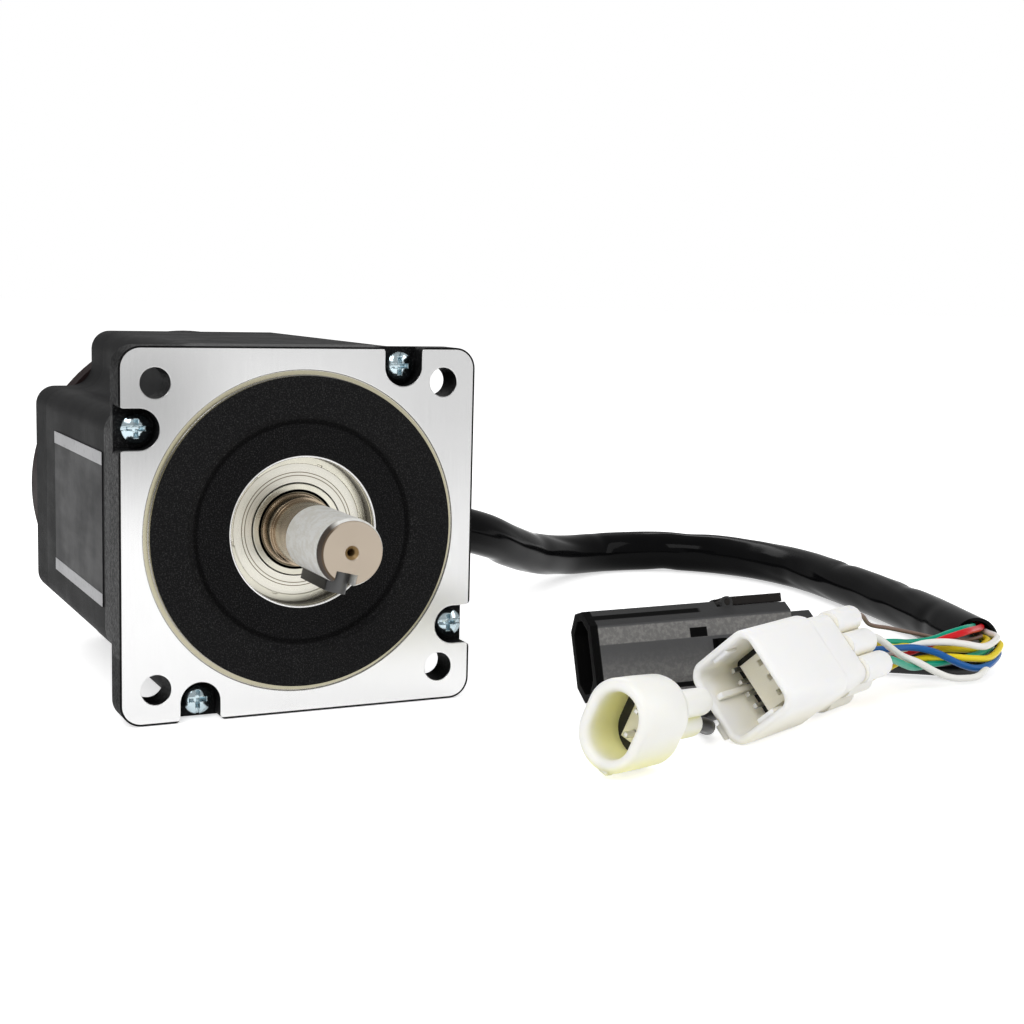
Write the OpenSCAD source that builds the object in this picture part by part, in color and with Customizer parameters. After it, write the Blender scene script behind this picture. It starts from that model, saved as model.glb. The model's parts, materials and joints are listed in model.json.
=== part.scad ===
// Brushless DC motor with an 86 mm square flange, a keyed shaft and three plugs on a sleeved cable.
// The origin is where the shaft axis meets the flange's front face. The shaft points along -Y and +Z is up.

/* [Flange] */
// Width and height of the square flange
flange_size = 86; // [84:0.5:92]
// Thickness of the flange plate
flange_t = 8; // [7:0.5:10]
// Corner radius of the flange
flange_corner_r = 5; // [3:0.5:8]
// Distance of the bolt holes from the two nearest sides
hole_in = 8.2; // [7:0.1:9]
// Diameter of the bolt holes
hole_d = 7; // [5:0.5:8]
// Distance of the locating spigot's rim from the sides of the flange
spigot_in = 6.55; // [6:0.05:8]
// Height of the spigot above the flange face
spigot_h = 1.2; // [0.8:0.1:2]
// Width of the relief groove round the spigot
groove_w = 1.3; // [0.8:0.1:2]
// Depth of the relief groove round the spigot
groove_t = 0.4; // [0.2:0.1:1]
// Diameter of the shallow recess in the spigot's face, at its rim
recess_d = 55.8; // [50:0.2:60]
// Radial width of the slope between the spigot's face and the recess floor
recess_slope_w = 2.1; // [1:0.1:3]
// Depth of the recess floor below the spigot's face
recess_t = 0.9; // [0.5:0.1:1.1]

/* [Body] */
// Width of each arm of the cross-shaped body, as a share of the flange's size
arm_share = 0.65; // [0.62:0.01:0.68]
// Radius of the body's outer edges
body_edge_r = 5; // [3:0.5:6]
// Radius in the body's inner corners
notch_r = 6; // [4:0.5:7]
// Length of the front cap behind the flange face, spigot left out
front_cap_len = 14.4; // [13.5:0.1:18]
// Length of the steel stack
stack_len = 68.6; // [50:0.2:100]
// Length of the rear cap
rear_cap_len = 14; // [14:0.5:18]
// Length of the round rear cover
cover_len = 10; // [10:0.5:14]
// Wall thickness of the rear cover
cover_wall = 2.5; // [2:0.1:3]
// Radius of the rear cover's outer edge
cover_edge_r = 2; // [1:0.1:2.4]

/* [Through screws] */
// Distance of each screw from the nearer side of the body
screw_in = 4.5; // [4.2:0.1:6]
// Distance of each screw from the edge of the arm that it sits in
screw_side_in = 3.45; // [3.2:0.05:4.5]
// Nominal thread diameter
screw_d = 4; // [3:0.5:4]
// Diameter of the screw head
screw_head_d = 6.6; // [6:0.1:7.5]
// Height of the screw head
screw_head_h = 3; // [2:0.1:3.5]
// Width of the pocket that the screw head sits in
pocket_w = 9.4; // [8.5:0.1:10]
// Depth of the pocket
pocket_t = 5.5; // [4:0.1:6]
// Rounding where the pocket opens in the side of the flange
pocket_lip_r = 1.2; // [0.6:0.1:2]

/* [Shaft] */
// Diameter of the output shaft
shaft_d = 15; // [13.6:0.1:15.6]
// Reach of the shaft in front of the flange face
shaft_reach = 32; // [28:0.5:45]
// Diameter of the collar between the output shaft and the bearing seat
collar_d = 16.3; // [16:0.1:16.8]
// Radial size of the chamfer at the tip
tip_chamfer = 0.5; // [0.3:0.1:1]
// Diameter of the centre hole's countersink
centre_d = 3.4; // [2.5:0.1:5]
// Width and height of the key
key_w = 5; // [4:0.5:5]
// Depth of the keyway below the shaft's surface
key_seat_t = 3; // [2.5:0.1:3.5]
// Length of the key over its round ends
key_len = 20; // [14:0.5:20]
// Distance of the key's front end from the shaft's tip
key_setback = 2.5; // [2:0.1:6]
// Clock angle of the key, from the top, seen from the shaft's tip
key_clock = 194; // [0:1:359]

/* [Bearings] */
// Bore of the front bearing
front_bore = 17; // [16.9:0.1:17.2]
// Outer diameter of the front bearing
front_od = 35; // [34:0.1:36]
// Width of the front bearing
front_bw = 10; // [9.6:0.1:10.4]
// Distance of the front bearing's face behind the flange face
front_seat = 4.5; // [4:0.1:5]
// Bore of the rear bearing
rear_bore = 15; // [14.8:0.1:15.4]
// Outer diameter of the rear bearing
rear_od = 32; // [31.5:0.1:32.5]
// Width of the rear bearing
rear_bw = 9; // [8.6:0.1:9.2]
// Ball diameter as a share of the distance from bore to outer diameter
ball_share = 0.522; // [0.48:0.002:0.54]
// Thickness of the bearing shields
shield_t = 0.5; // [0.3:0.1:0.6]

/* [Stator and rotor] */
// Diameter of the stator's bore as a share of the diameter across the slot bottoms
bore_share = 0.653; // [0.62:0.001:0.68]
// Least thickness of steel between the slots and the notches of the body
yoke_t = 4.5; // [4:0.1:6]
// Width of a stator tooth
tooth_w = 6; // [5:0.1:7]
// Thickness of the copper round each tooth
coil_t = 2.6; // [2:0.1:2.8]
// Air gap between the rotor's magnets and the stator
air_gap = 0.5; // [0.4:0.05:1]
// Radial thickness of the magnets
magnet_t = 3; // [2:0.1:4]
// How much shorter the magnets are than the stack
magnet_short = 4.6; // [4.6:0.2:12]
// Number of magnets round the rotor
poles = 8; // [4:2:10]

/* [Name plate] */
// Distance of the plate's front end from the stack's front face
plate_in = 1.3; // [0.5:0.1:4]
// Distance of the plate's rear end from the stack's rear face
plate_rear_in = 12.8; // [2:0.1:20]
// Height of the plate
plate_h = 36; // [30:0.5:40]
// Thickness of the plate
plate_t = 0.25; // [0.2:0.05:0.4]
// Width of the two light bars
bar_w = 3; // [2:0.1:4]
// Thickness of the light bars
bar_t = 0.1; // [0.05:0.01:0.15]

/* [Signal plug, white] */
// Width of the hood
sig_w = 20.5; // [19.5:0.5:22]
// Height of the hood
sig_h = 21.5; // [20.5:0.5:23]
// Corner cut of the hood
sig_cut = 2.5; // [2:0.1:3]
// Length of the hood
sig_hood = 26; // [24:0.5:30]
// Length of the whole plug
sig_len = 50; // [48:0.5:52]
// Depth of the plug's mouth
sig_mouth = 18; // [17:0.5:20]

/* [Sensor plug, natural] */
// Width of the oval hood
sen_w = 16.3; // [15.5:0.1:17.5]
// Height of the oval hood
sen_h = 20.6; // [20:0.1:22]
// Length of the hood
sen_hood = 17; // [16:0.5:20]
// Length of the whole plug
sen_len = 33; // [30:0.5:35]
// Depth of the plug's mouth
sen_mouth = 14; // [13.5:0.5:14.5]

/* [Power plug, black] */
// Width of the plug
pow_w = 13; // [12.5:0.5:14]
// Height of the plug
pow_h = 22; // [21:0.5:23]
// Corner cut of the plug
pow_cut = 4; // [3:0.5:4.5]
// Length of the plug
pow_len = 55; // [53:0.5:57]
// Depth of the plug's mouth
pow_mouth = 22; // [20:0.5:26]
// Length of the latch lever
latch_len = 17; // [15:0.5:19]
// Width of the latch lever
latch_w = 5; // [4:0.5:5.5]
// Thickness of the latch lever
latch_t = 2.2; // [1.8:0.1:2.6]

/* [Cable] */
// Wall thickness of all three plug hoods
hood_wall = 2; // [1.6:0.1:2.4]
// Diameter of the black sleeve
sleeve_d = 14; // [13:0.1:14]
// Diameter of the bundle of signal wires
bundle_d = 7; // [6:0.1:7.2]
// Diameter of the sensor lead
sensor_lead_d = 3.4; // [3:0.1:3.6]
// Diameter of the power lead
power_lead_d = 6; // [5:0.1:6.4]
// Length of the rubber boot between the grommet's collar and the sleeve
boot_len = 15.5; // [12:0.5:18]

/* [Hidden] */
$fn = 64;

// Overrun of every cut
cut = 1;
// Clearance of parts that slip into each other
slip = 0.05;
// Clearance of soft trim and of moving covers
gap = 0.3;
half = flange_size / 2;
floor_z = -half;
axis_y = [-90, 0, 0];
hole_spacing = flange_size - 2 * hole_in;
spigot_d = flange_size - 2 * spigot_in;
arm_w = flange_size * arm_share;
screw_off = arm_w / 2 - screw_side_in;

// Stations along the shaft axis
stack_y = front_cap_len;
cap_y = stack_y + stack_len;
cover_y = cap_y + rear_cap_len;
end_y = cover_y + cover_len;

// Stator's diameters, from the notches inwards, and the rotor's
slot_bottom_d = 2 * ((arm_w / 2 + notch_r) * sqrt(2) - notch_r - yoke_t);
stator_bore = slot_bottom_d * bore_share;
rotor_d = stator_bore - 2 * air_gap;

// Front cap
cavity_over = 1.5;
cavity_r = slot_bottom_d / 2 + cavity_over;
cavity_floor_y = front_seat + gap;
hub_wall = 4;
hub_r = front_od / 2 + hub_wall;
hub_lip_t = 2;
hub_end_y = front_seat + front_bw + hub_lip_t;
lip_w = 3;
lip_r = front_od / 2 - lip_w;

// Rear cap
cap_floor_t = 6;
cap_floor_y = cover_y - cap_floor_t;
rear_seat_in = 1;
rear_seat_y = cap_y + rear_seat_in;
washer_t = 1;
rear_pocket_y = rear_seat_y + rear_bw + washer_t;
rear_hub_r = rear_od / 2 + hub_wall;
tail_hole_r = 6;

// Shaft
tail_r = 4;
tail_len = 6;
shaft_shoulder_r = 11;
shaft_shoulder_t = 2;
core_seat_r = 9.5;
rear_shoulder_r = 9.5;
chamfer_run = 1.2;
centre_t = 2;
core_y = front_seat + front_bw + shaft_shoulder_t;
core_over = 1;
magnet_len = stack_len - magnet_short;
core_len = magnet_len + core_over;
vent_r = 3;
vents = 6;

// Bearings
ring_share = 0.26;
race_slip = 0.06;
shield_land = 0.4;
shield_in = 0.3;
notch_len = 1.2;
notch_w = 0.5;
notches = 6;
balls = 10;
cage_t_share = 0.255;
cage_w_share = 0.72;
cage_slip = 0.08;

// Stator
slots = 12;
shoe_t = 3;
slot_mouth_w = 2.4;
insul_t = 1;
insul_skin = 0.4;
coil_over = 3;

// Sensor board
board_in = 13;
board_r = half - board_in;
board_hole_r = 9.6;
board_t = 1.6;
board_stand = 2;
board_y = cover_y + board_stand;
board_post_r = 2.6;
board_post_in = 4;
board_post_at = board_r - board_post_in;
board_screw_r = 1.2;
board_screw_head_r = 2.2;
board_screw_head_t = 1.2;
sense_ring_r = 8;
sense_ring_t = 4;
sensor_size = [4, 1.5, 3];
sensor_at = 13;

// Rear cover
cover_r = half;
post_r = 3.4;
post_in = 6;
post_at = half - post_in;
cover_screw_r = 1.5;
cover_screw_head_r = 2.7;
cover_screw_head_t = 1.6;
cover_screw_len = 15;
wire_hole_r = 4;
wire_hole_in = 14;
wire_hole_at = [half - wire_hole_in, -12];

// Grommet
outlet_y = cap_y + rear_cap_len / 2;
outlet_rise = 29;
outlet_z = floor_z + outlet_rise;
outlet_r = 5.5;
grommet_collar_r = 6.8;
grommet_collar_t = 2.5;
boot_over = 0.2;
boot_r = sleeve_d / 2 + boot_over;
boot_rib_t = 1.5;
boot_ribs = 4;
boot_root_r = 5.2;

// Screw drive
drive_arm = 4.2;
drive_w = 1.1;
drive_t = 1.6;
slot_w = 0.8;
slot_t = 0.7;
small_drive_r = 1.3;
small_drive_t = 0.9;

// Name plate
plate_y = stack_y + plate_in;
plate_len = stack_len - plate_in - plate_rear_in;

// Signal plug
sig_spot = [81.2, -62.3];
sig_heading = 24;
sig_roll = -42;
sig_body_in = 1.3;
sig_rows = 3;
sig_cols = 3;
sig_pitch = 6.6;
sig_boss_r = 3.25;
sig_boss_len = 12;
sig_wire_hole_r = 1.2;
sig_wire_hole_t = 6;
tower_w = 7.6;
tower_h = 12.4;
tower_len = 7;
tower_slot_w = 1.4;
tower_slot_t = 4;
pin_w = 1;
pin_len = 7;
sig_pins_per_side = 5;
sig_pin_pitch = 3.2;
sig_pin_at = 6.2;
seal_t = 2;
lug_size = [9, 4, 1.2];
lug_up = 3.5;

// Sensor plug
sen_spot = [40.7, -75.5];
sen_heading = 24;
sen_roll = 22;
sen_pitch = -5;
sen_boss_r = 3.1;
sen_boss_at = 2.8;
sen_tower_w = 5.6;
sen_tower_h = 10.4;
sen_tower_len = 3.6;
sen_rib_t = 1.6;
sen_rib_w = 2;
sen_rib_len = 6.4;
sen_rib_at = -2.2;
sen_pin_at = 2.9;

// Power plug
pow_spot = [67, -15.5];
pow_heading = -6;
pow_roll = -18;
pow_pitch = 1.8;
blade_size = [12, 0.8, 3.4];
blade_pitch = 5;
blades = 3;
tail_w = 9;
tail_h = 14;
tail_cut = 3;
tail_run = 8;
pivot_r = 0.8;
ear_t = 1.2;
ear_r = 1.5;
catch_size = [5, 1.4, 2.6];
catch_at = 33;
latch_step = 1.6;

// Cable routes: centre points in millimetres
sleeve_route = [[61, 90, -14], [68, 90, -14], [79, 91.5, -15.2], [93, 98.5, -19], [108, 111, -25], [126, 127, -31],
    [146, 143, -35], [166, 150, -36], [186, 147, -36], [202, 134, -36], [211, 114, -36], [213, 92, -36],
    [210, 68, -36], [206, 44, -36], [200, 18, -36], [193, -4, -36], [188, -19, -36]];
signal_route = [[190.5, -20, -33.8], [188.4, -26.3, -33.8], [183.5, -32, -33.8], [176, -35, -33.6], [165, -34.5, -33],
    [155, -32.3, -31.5], [144, -34.2, -30.4], [135, -38.2, -30], [127.1, -41.9, -29.8]];
sensor_route = [[187.7, -19.1, -40.6], [186, -24, -41], [181, -27, -41.2], [174, -26, -41.2], [166, -20.5, -41.2],
    [156, -14.5, -41.2], [146, -13.5, -41.2], [137, -18.2, -41.2], [129.5, -25.5, -41.2], [121, -31.3, -41.2],
    [110, -35, -41.2], [100, -37.8, -41.2], [88, -42, -41.2], [82, -45.2, -41.2], [79.2, -49.5, -41.1],
    [78, -54.6, -40.6], [75.2, -58.9, -38.6], [70.2, -61.1, -37.1]];
power_route = [[184.3, -18.1, -35.6], [182, -23.4, -35.6], [176.3, -27, -35.8], [168, -27.6, -36.4], [159, -26, -36],
    [150.5, -24.5, -33.8], [144, -23.7, -31.2], [137.6, -23, -29.7], [130.1, -22.2, -29.8]];
sleeve_sides = 12;
lead_sides = 8;

// The cable starts at the boot, so the cable and its plugs follow the motor's size
cable_start = [half + grommet_collar_t + boot_len, outlet_y, outlet_z];
cable_shift = cable_start - sleeve_route[0];

// Rounded rectangle about the origin
module round_rect(w, h, r) {
    square([w - 2 * r, h], center = true);
    square([w, h - 2 * r], center = true);
    for (sx = [-1, 1], sy = [-1, 1]) translate([sx * (w / 2 - r), sy * (h / 2 - r)]) circle(r = r);
}

// Rectangle with cut corners about the origin
function cut_points(w, h, c) = [[-w / 2 + c, h / 2], [w / 2 - c, h / 2], [w / 2, h / 2 - c], [w / 2, -h / 2 + c],
    [w / 2 - c, -h / 2], [-w / 2 + c, -h / 2], [-w / 2, -h / 2 + c], [-w / 2, h / 2 - c]];
module cut_rect(w, h, c) polygon(cut_points(w, h, c));

// Upright oval with half-round ends
module oval(w, h) {
    square([w, h - w], center = true);
    for (s = [-1, 1]) translate([0, s * (h - w) / 2]) circle(r = w / 2);
}

// A flat outline in X and Z, pushed out from y0 to y1
module along_y(y0, y1) translate([0, y1, 0]) rotate([90, 0, 0]) linear_extrude(y1 - y0) children();

// A flat outline in Y and Z, pushed out from x0 to x1
module along_x(x0, x1) translate([x0, 0, 0]) rotate([90, 0, 90]) linear_extrude(x1 - x0) children();

// A round bar along Y
module rod_y(r, y0, y1) translate([0, y0, 0]) rotate(axis_y) cylinder(r = r, h = y1 - y0);

// A profile of radius and station, turned round the shaft axis
module turned() rotate(axis_y) rotate_extrude() children();

// A ring along Y
module ring_y(r_in, r_out, y0, y1) difference() {
    rod_y(r_out, y0, y1);
    rod_y(r_in, y0 - cut, y1 + cut);
}

// Copies round the shaft axis
module round_axis(n, start = 0) for (i = [0 : n - 1]) rotate([0, start + i * 360 / n, 0]) children();

// The cross-shaped outline of the body
module body_outline() {
    round_rect(flange_size, arm_w, body_edge_r);
    round_rect(arm_w, flange_size, body_edge_r);
    for (sx = [0, 1], sy = [0, 1]) mirror([sx, 0]) mirror([0, sy]) translate([arm_w / 2, arm_w / 2]) difference() {
        translate([-slip, -slip]) square(notch_r + slip);
        translate([notch_r, notch_r]) circle(r = notch_r);
    }
}

// Places of the four through screws, turned a quarter each time
screw_x = half - screw_in;
module at_screws() for (a = [0 : 90 : 270]) rotate([0, a, 0]) translate([-screw_x, 0, screw_off]) children();

// One pocket outline, open towards -X
module pocket_outline() {
    lip_x = -screw_in;
    circle(r = pocket_w / 2);
    translate([lip_x - cut, -pocket_w / 2]) square([screw_in + cut, pocket_w]);
    for (s = [0, 1]) mirror([0, s]) translate([lip_x, pocket_w / 2]) difference() {
        translate([-cut, -slip]) square([pocket_lip_r + cut, pocket_lip_r + slip]);
        translate([pocket_lip_r, pocket_lip_r]) circle(r = pocket_lip_r);
        translate([-cut, pocket_lip_r]) square([pocket_lip_r + cut, pocket_lip_r]);
    }
}

// Front cap: flange, spigot, bearing seat and the cavity for the coil ends
module front_cap() color("gainsboro") difference() {
    union() {
        along_y(0, flange_t) round_rect(flange_size, flange_size, flange_corner_r);
        along_y(flange_t, stack_y) body_outline();
        rod_y(spigot_d / 2, -spigot_h, flange_t);
        rod_y(hub_r, flange_t, hub_end_y);
    }
    turned() polygon([[0, -spigot_h - cut], [recess_d / 2, -spigot_h - cut], [recess_d / 2, -spigot_h],
        [recess_d / 2 - recess_slope_w, recess_t - spigot_h], [0, recess_t - spigot_h]]);
    rod_y(front_od / 2, -spigot_h - cut, front_seat + front_bw);
    rod_y(lip_r, 0, hub_end_y + cut);
    ring_y(spigot_d / 2, spigot_d / 2 + groove_w, -cut, groove_t);
    ring_y(hub_r, cavity_r, cavity_floor_y, hub_end_y + cut);
    for (sx = [-1, 1], sz = [-1, 1]) translate([sx * hole_spacing / 2, 0, sz * hole_spacing / 2])
        rod_y(hole_d / 2, -cut, flange_t + cut);
    at_screws() {
        along_y(-cut, pocket_t) pocket_outline();
        rod_y(screw_d / 2 + gap / 2, 0, stack_y + cut);
    }
}

// Stator stack with its slots and the holes of the through screws
module tooth_outline(w, r) for (i = [0 : slots - 1]) rotate(i * 360 / slots) translate([0, -w / 2]) square([r, w]);
module slot_outline() {
    difference() {
        circle(r = slot_bottom_d / 2);
        circle(r = stator_bore / 2 + shoe_t);
        tooth_outline(tooth_w, slot_bottom_d / 2 + cut);
    }
    for (i = [0 : slots - 1]) rotate((i + 0.5) * 360 / slots)
        translate([0, -slot_mouth_w / 2]) square([stator_bore / 2 + shoe_t + slip, slot_mouth_w]);
}
module stator_stack() color("dimgray") difference() {
    along_y(stack_y, cap_y) difference() {
        body_outline();
        circle(r = stator_bore / 2);
        slot_outline();
    }
    at_screws() rod_y(screw_d / 2 + gap / 2, 0, cap_y + cut);
}

// Plastic ends that keep the copper off the steel
module insulator(y0, y1) color("ivory") along_y(y0, y1) difference() {
    union() {
        difference() {
            circle(r = cavity_r - gap);
            circle(r = slot_bottom_d / 2 - insul_skin);
        }
        tooth_outline(tooth_w + 2 * insul_skin, slot_bottom_d / 2);
        circle(r = stator_bore / 2 + shoe_t);
    }
    circle(r = stator_bore / 2 + gap);
}
module front_insulator() insulator(stack_y - insul_t, stack_y);
module rear_insulator() insulator(cap_y, cap_y + insul_t);

// One coil round each tooth
coil_in = stator_bore / 2 + shoe_t + insul_skin;
coil_out = slot_bottom_d / 2 - insul_skin;
coil_half = tooth_w / 2 + insul_skin;
coil_y0 = stack_y - insul_t - slip;
coil_y1 = cap_y + insul_t + slip;
module coil() difference() {
    translate([coil_in, coil_y0 - coil_over, -coil_half - coil_t])
        cube([coil_out - coil_in, coil_y1 - coil_y0 + 2 * coil_over, 2 * (coil_half + coil_t)]);
    translate([coil_in - cut, coil_y0, -coil_half - slip])
        cube([coil_out - coil_in + 2 * cut, coil_y1 - coil_y0, 2 * (coil_half + slip)]);
}
module phase_coils() color("chocolate") round_axis(slots) coil();

// Rear cap with the rear bearing's pocket and the cable outlet
module rear_cap() color("dimgray") difference() {
    union() {
        along_y(cap_y, cover_y) body_outline();
        round_axis(3) translate([0, 0, board_post_at]) rod_y(board_post_r, cover_y - cut, board_y);
    }
    ring_y(rear_hub_r, cavity_r, cap_y - cut, cap_floor_y);
    rod_y(rear_od / 2, cap_y - cut, rear_pocket_y);
    rod_y(tail_hole_r, cap_y, cover_y + cut);
    at_screws() rod_y(screw_d / 2, cap_y - cut, cover_y - hub_wall);
    translate([0, outlet_y, outlet_z]) rotate([0, 90, 0]) cylinder(r = outlet_r, h = half + cut);
    translate([wire_hole_at[0], 0, wire_hole_at[1]]) rod_y(wire_hole_r, cap_floor_y - cut, cover_y + cut);
    round_axis(4, 45) translate([0, 0, post_at])
        rod_y(cover_screw_r, cover_y - cover_screw_len + cover_len, cover_y + cut);
    round_axis(3) translate([0, 0, board_post_at])
        rod_y(board_screw_r, cap_floor_y + cut, board_y + cut);
}

// Round rear cover over the sensor board
module rear_cover() color("rosybrown") difference() {
    union() {
        difference() {
            union() {
                rod_y(cover_r, cover_y, end_y - cover_edge_r);
                rod_y(cover_r - cover_edge_r, cover_y, end_y);
                turned() translate([cover_r - cover_edge_r, end_y - cover_edge_r]) circle(r = cover_edge_r);
            }
            rod_y(cover_r - cover_wall, cover_y - cut, end_y - cover_wall);
        }
        round_axis(4, 45) translate([0, 0, post_at]) rod_y(post_r, cover_y, end_y - cover_wall / 2);
    }
    round_axis(4, 45) translate([0, 0, post_at]) {
        rod_y(cover_screw_r + gap / 2, cover_y - cut, end_y + cut);
        rod_y(cover_screw_head_r + gap, end_y - cover_screw_head_t, end_y + cut);
    }
}

// A small screw from the rear, head face at y1
module rear_screw(r, head_r, head_t, y0, y1) difference() {
    union() {
        rod_y(r, y0, y1);
        rod_y(head_r, y1 - head_t, y1);
    }
    for (a = [0, 90]) rotate([0, a, 0]) translate([-small_drive_r, y1 - small_drive_t, -slot_w / 2])
        cube([2 * small_drive_r, small_drive_t + cut, slot_w]);
}
module cover_screws() color("silver") round_axis(4, 45) translate([0, 0, post_at])
    rear_screw(cover_screw_r, cover_screw_head_r, cover_screw_head_t,
        cover_y - cover_screw_len + cover_len + slip, end_y);

// Four long screws that clamp the caps on the stack
module through_screws() color("lightsteelblue") at_screws() difference() {
    union() {
        rod_y(screw_head_d / 2, pocket_t - screw_head_h, pocket_t);
        rod_y(screw_d / 2, pocket_t - slip, cover_y - hub_wall - slip);
    }
    for (a = [0, 90]) rotate([0, a, 0]) translate([-drive_arm / 2, pocket_t - screw_head_h - cut, -drive_w / 2])
        cube([drive_arm, drive_t + cut, drive_w]);
    translate([-screw_head_d, pocket_t - screw_head_h - cut, -slot_w / 2])
        cube([2 * screw_head_d, slot_t + cut, slot_w]);
}

// Ball bearing pieces: bore radius, outer radius, width and station of the front face
function ring_t(b, o) = (o - b) * ring_share;
function pitch_r(b, o) = (b + o) / 2;
function ball_r(b, o) = (o - b) * ball_share / 2;
module race_cut(b, o, w, y) turned() translate([pitch_r(b, o), y + w / 2]) circle(r = ball_r(b, o) + race_slip);
module outer_ring(b, o, w, y) color("silver") difference() {
    rod_y(o, y, y + w);
    rod_y(o - ring_t(b, o), y - cut, y + w + cut);
    for (side = [0, 1]) rod_y(o - ring_t(b, o) + shield_land, y + (side == 0 ? -cut : w - shield_in - shield_t),
        y + (side == 0 ? shield_in + shield_t : w + cut));
    race_cut(b, o, w, y);
    round_axis(notches, 20) translate([-notch_len / 2, y - cut, o - ring_t(b, o) + shield_land - slip])
        cube([notch_len, cut + shield_in, notch_w]);
}
module inner_ring(b, o, w, y) color("silver") difference() {
    ring_y(b, b + ring_t(b, o), y, y + w);
    race_cut(b, o, w, y);
}
module shields(b, o, w, y) color("gainsboro") for (s = [shield_in, w - shield_in - shield_t])
    ring_y(b + ring_t(b, o) + gap, o - ring_t(b, o) + shield_land - slip / 2, y + s, y + s + shield_t);
module ball_set(b, o, w, y) color("lightgray") round_axis(balls)
    translate([0, y + w / 2, pitch_r(b, o)]) sphere(r = ball_r(b, o));
module cage(b, o, w, y) color("goldenrod") difference() {
    half_t = ball_r(b, o) * cage_t_share;
    half_w = ball_r(b, o) * cage_w_share;
    ring_y(pitch_r(b, o) - half_t, pitch_r(b, o) + half_t, y + w / 2 - half_w, y + w / 2 + half_w);
    round_axis(balls) translate([0, y + w / 2, pitch_r(b, o)]) sphere(r = ball_r(b, o) + cage_slip);
}
module front_outer_ring() outer_ring(front_bore / 2, front_od / 2, front_bw, front_seat);
module front_shields() shields(front_bore / 2, front_od / 2, front_bw, front_seat);
module front_inner_ring() inner_ring(front_bore / 2, front_od / 2, front_bw, front_seat);
module front_balls() ball_set(front_bore / 2, front_od / 2, front_bw, front_seat);
module front_cage() cage(front_bore / 2, front_od / 2, front_bw, front_seat);
module rear_outer_ring() outer_ring(rear_bore / 2, rear_od / 2, rear_bw, rear_seat_y);
module rear_shields() shields(rear_bore / 2, rear_od / 2, rear_bw, rear_seat_y);
module rear_inner_ring() inner_ring(rear_bore / 2, rear_od / 2, rear_bw, rear_seat_y);
module rear_balls() ball_set(rear_bore / 2, rear_od / 2, rear_bw, rear_seat_y);
module rear_cage() cage(rear_bore / 2, rear_od / 2, rear_bw, rear_seat_y);

// Preload washer behind the rear bearing's outer ring
module wave_washer() color("slategray")
    ring_y(rear_od / 2 - ring_t(rear_bore / 2, rear_od / 2), rear_od / 2 - slip, rear_seat_y + rear_bw, rear_pocket_y);

// Keyed shaft, from the tip to the tail of the sensor magnet
tail_end_y = cover_y + tail_len;
seat_end_y = rear_seat_y + rear_bw;
module key_outline(w, len) {
    translate([-w / 2, w / 2]) square([w, len - w]);
    for (y = [w / 2, len - w / 2]) translate([0, y]) circle(r = w / 2);
}
key_y = -shaft_reach + key_setback;
key_root_r = shaft_d / 2 - key_seat_t;
module shaft() color("silver") difference() {
    turned() polygon([[0, -shaft_reach], [shaft_d / 2 - tip_chamfer, -shaft_reach],
        [shaft_d / 2, chamfer_run - shaft_reach], [shaft_d / 2, 0], [collar_d / 2, 0], [collar_d / 2, front_seat],
        [front_bore / 2, front_seat], [front_bore / 2, front_seat + front_bw],
        [shaft_shoulder_r, front_seat + front_bw], [shaft_shoulder_r, core_y], [core_seat_r, core_y],
        [core_seat_r, rear_seat_y], [rear_bore / 2, rear_seat_y], [rear_bore / 2, seat_end_y], [tail_r, seat_end_y],
        [tail_r, tail_end_y], [0, tail_end_y]]);
    turned() polygon([[0, -shaft_reach - cut], [centre_d / 2 + cut, -shaft_reach - cut], [centre_d / 2, -shaft_reach],
        [centre_d / 4, centre_d / 4 - shaft_reach], [centre_d / 4, centre_t + centre_d - shaft_reach],
        [0, centre_t + centre_d - shaft_reach]]);
    rotate([0, key_clock, 0]) translate([0, 0, key_root_r]) linear_extrude(shaft_d) {
        translate([0, key_y]) key_outline(key_w, key_len);
        translate([-key_w / 2, -shaft_reach - cut]) square([key_w, key_len / 2 + key_setback + cut]);
    }
}
module shaft_key() color("gainsboro") rotate([0, key_clock, 0]) translate([0, key_y, key_root_r])
    linear_extrude(key_w) key_outline(key_w - slip / 2, key_len - slip / 2);

// Rotor iron with vent holes, and the ring of magnets on it
magnet_in = rotor_d / 2 - magnet_t;
magnet_y = core_y + (core_len - magnet_len) / 2;
module rotor_core() color("slategray") difference() {
    rod_y(magnet_in, core_y, core_y + core_len);
    rod_y(core_seat_r, core_y - cut, core_y + core_len + cut);
    round_axis(vents) translate([0, 0, (magnet_in + core_seat_r) / 2]) rod_y(vent_r, core_y - cut, core_y + core_len + cut);
}
module rotor_magnets() color("darkslategray") difference() {
    ring_y(magnet_in, rotor_d / 2, magnet_y, magnet_y + magnet_len);
    round_axis(poles) translate([-magnet_t / 4, magnet_y - cut, magnet_in - cut])
        cube([magnet_t / 2, magnet_len + 2 * cut, magnet_t + 2 * cut]);
}
module sensor_magnet() color("darkslategray") ring_y(tail_r, sense_ring_r, tail_end_y - sense_ring_t, tail_end_y);

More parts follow.
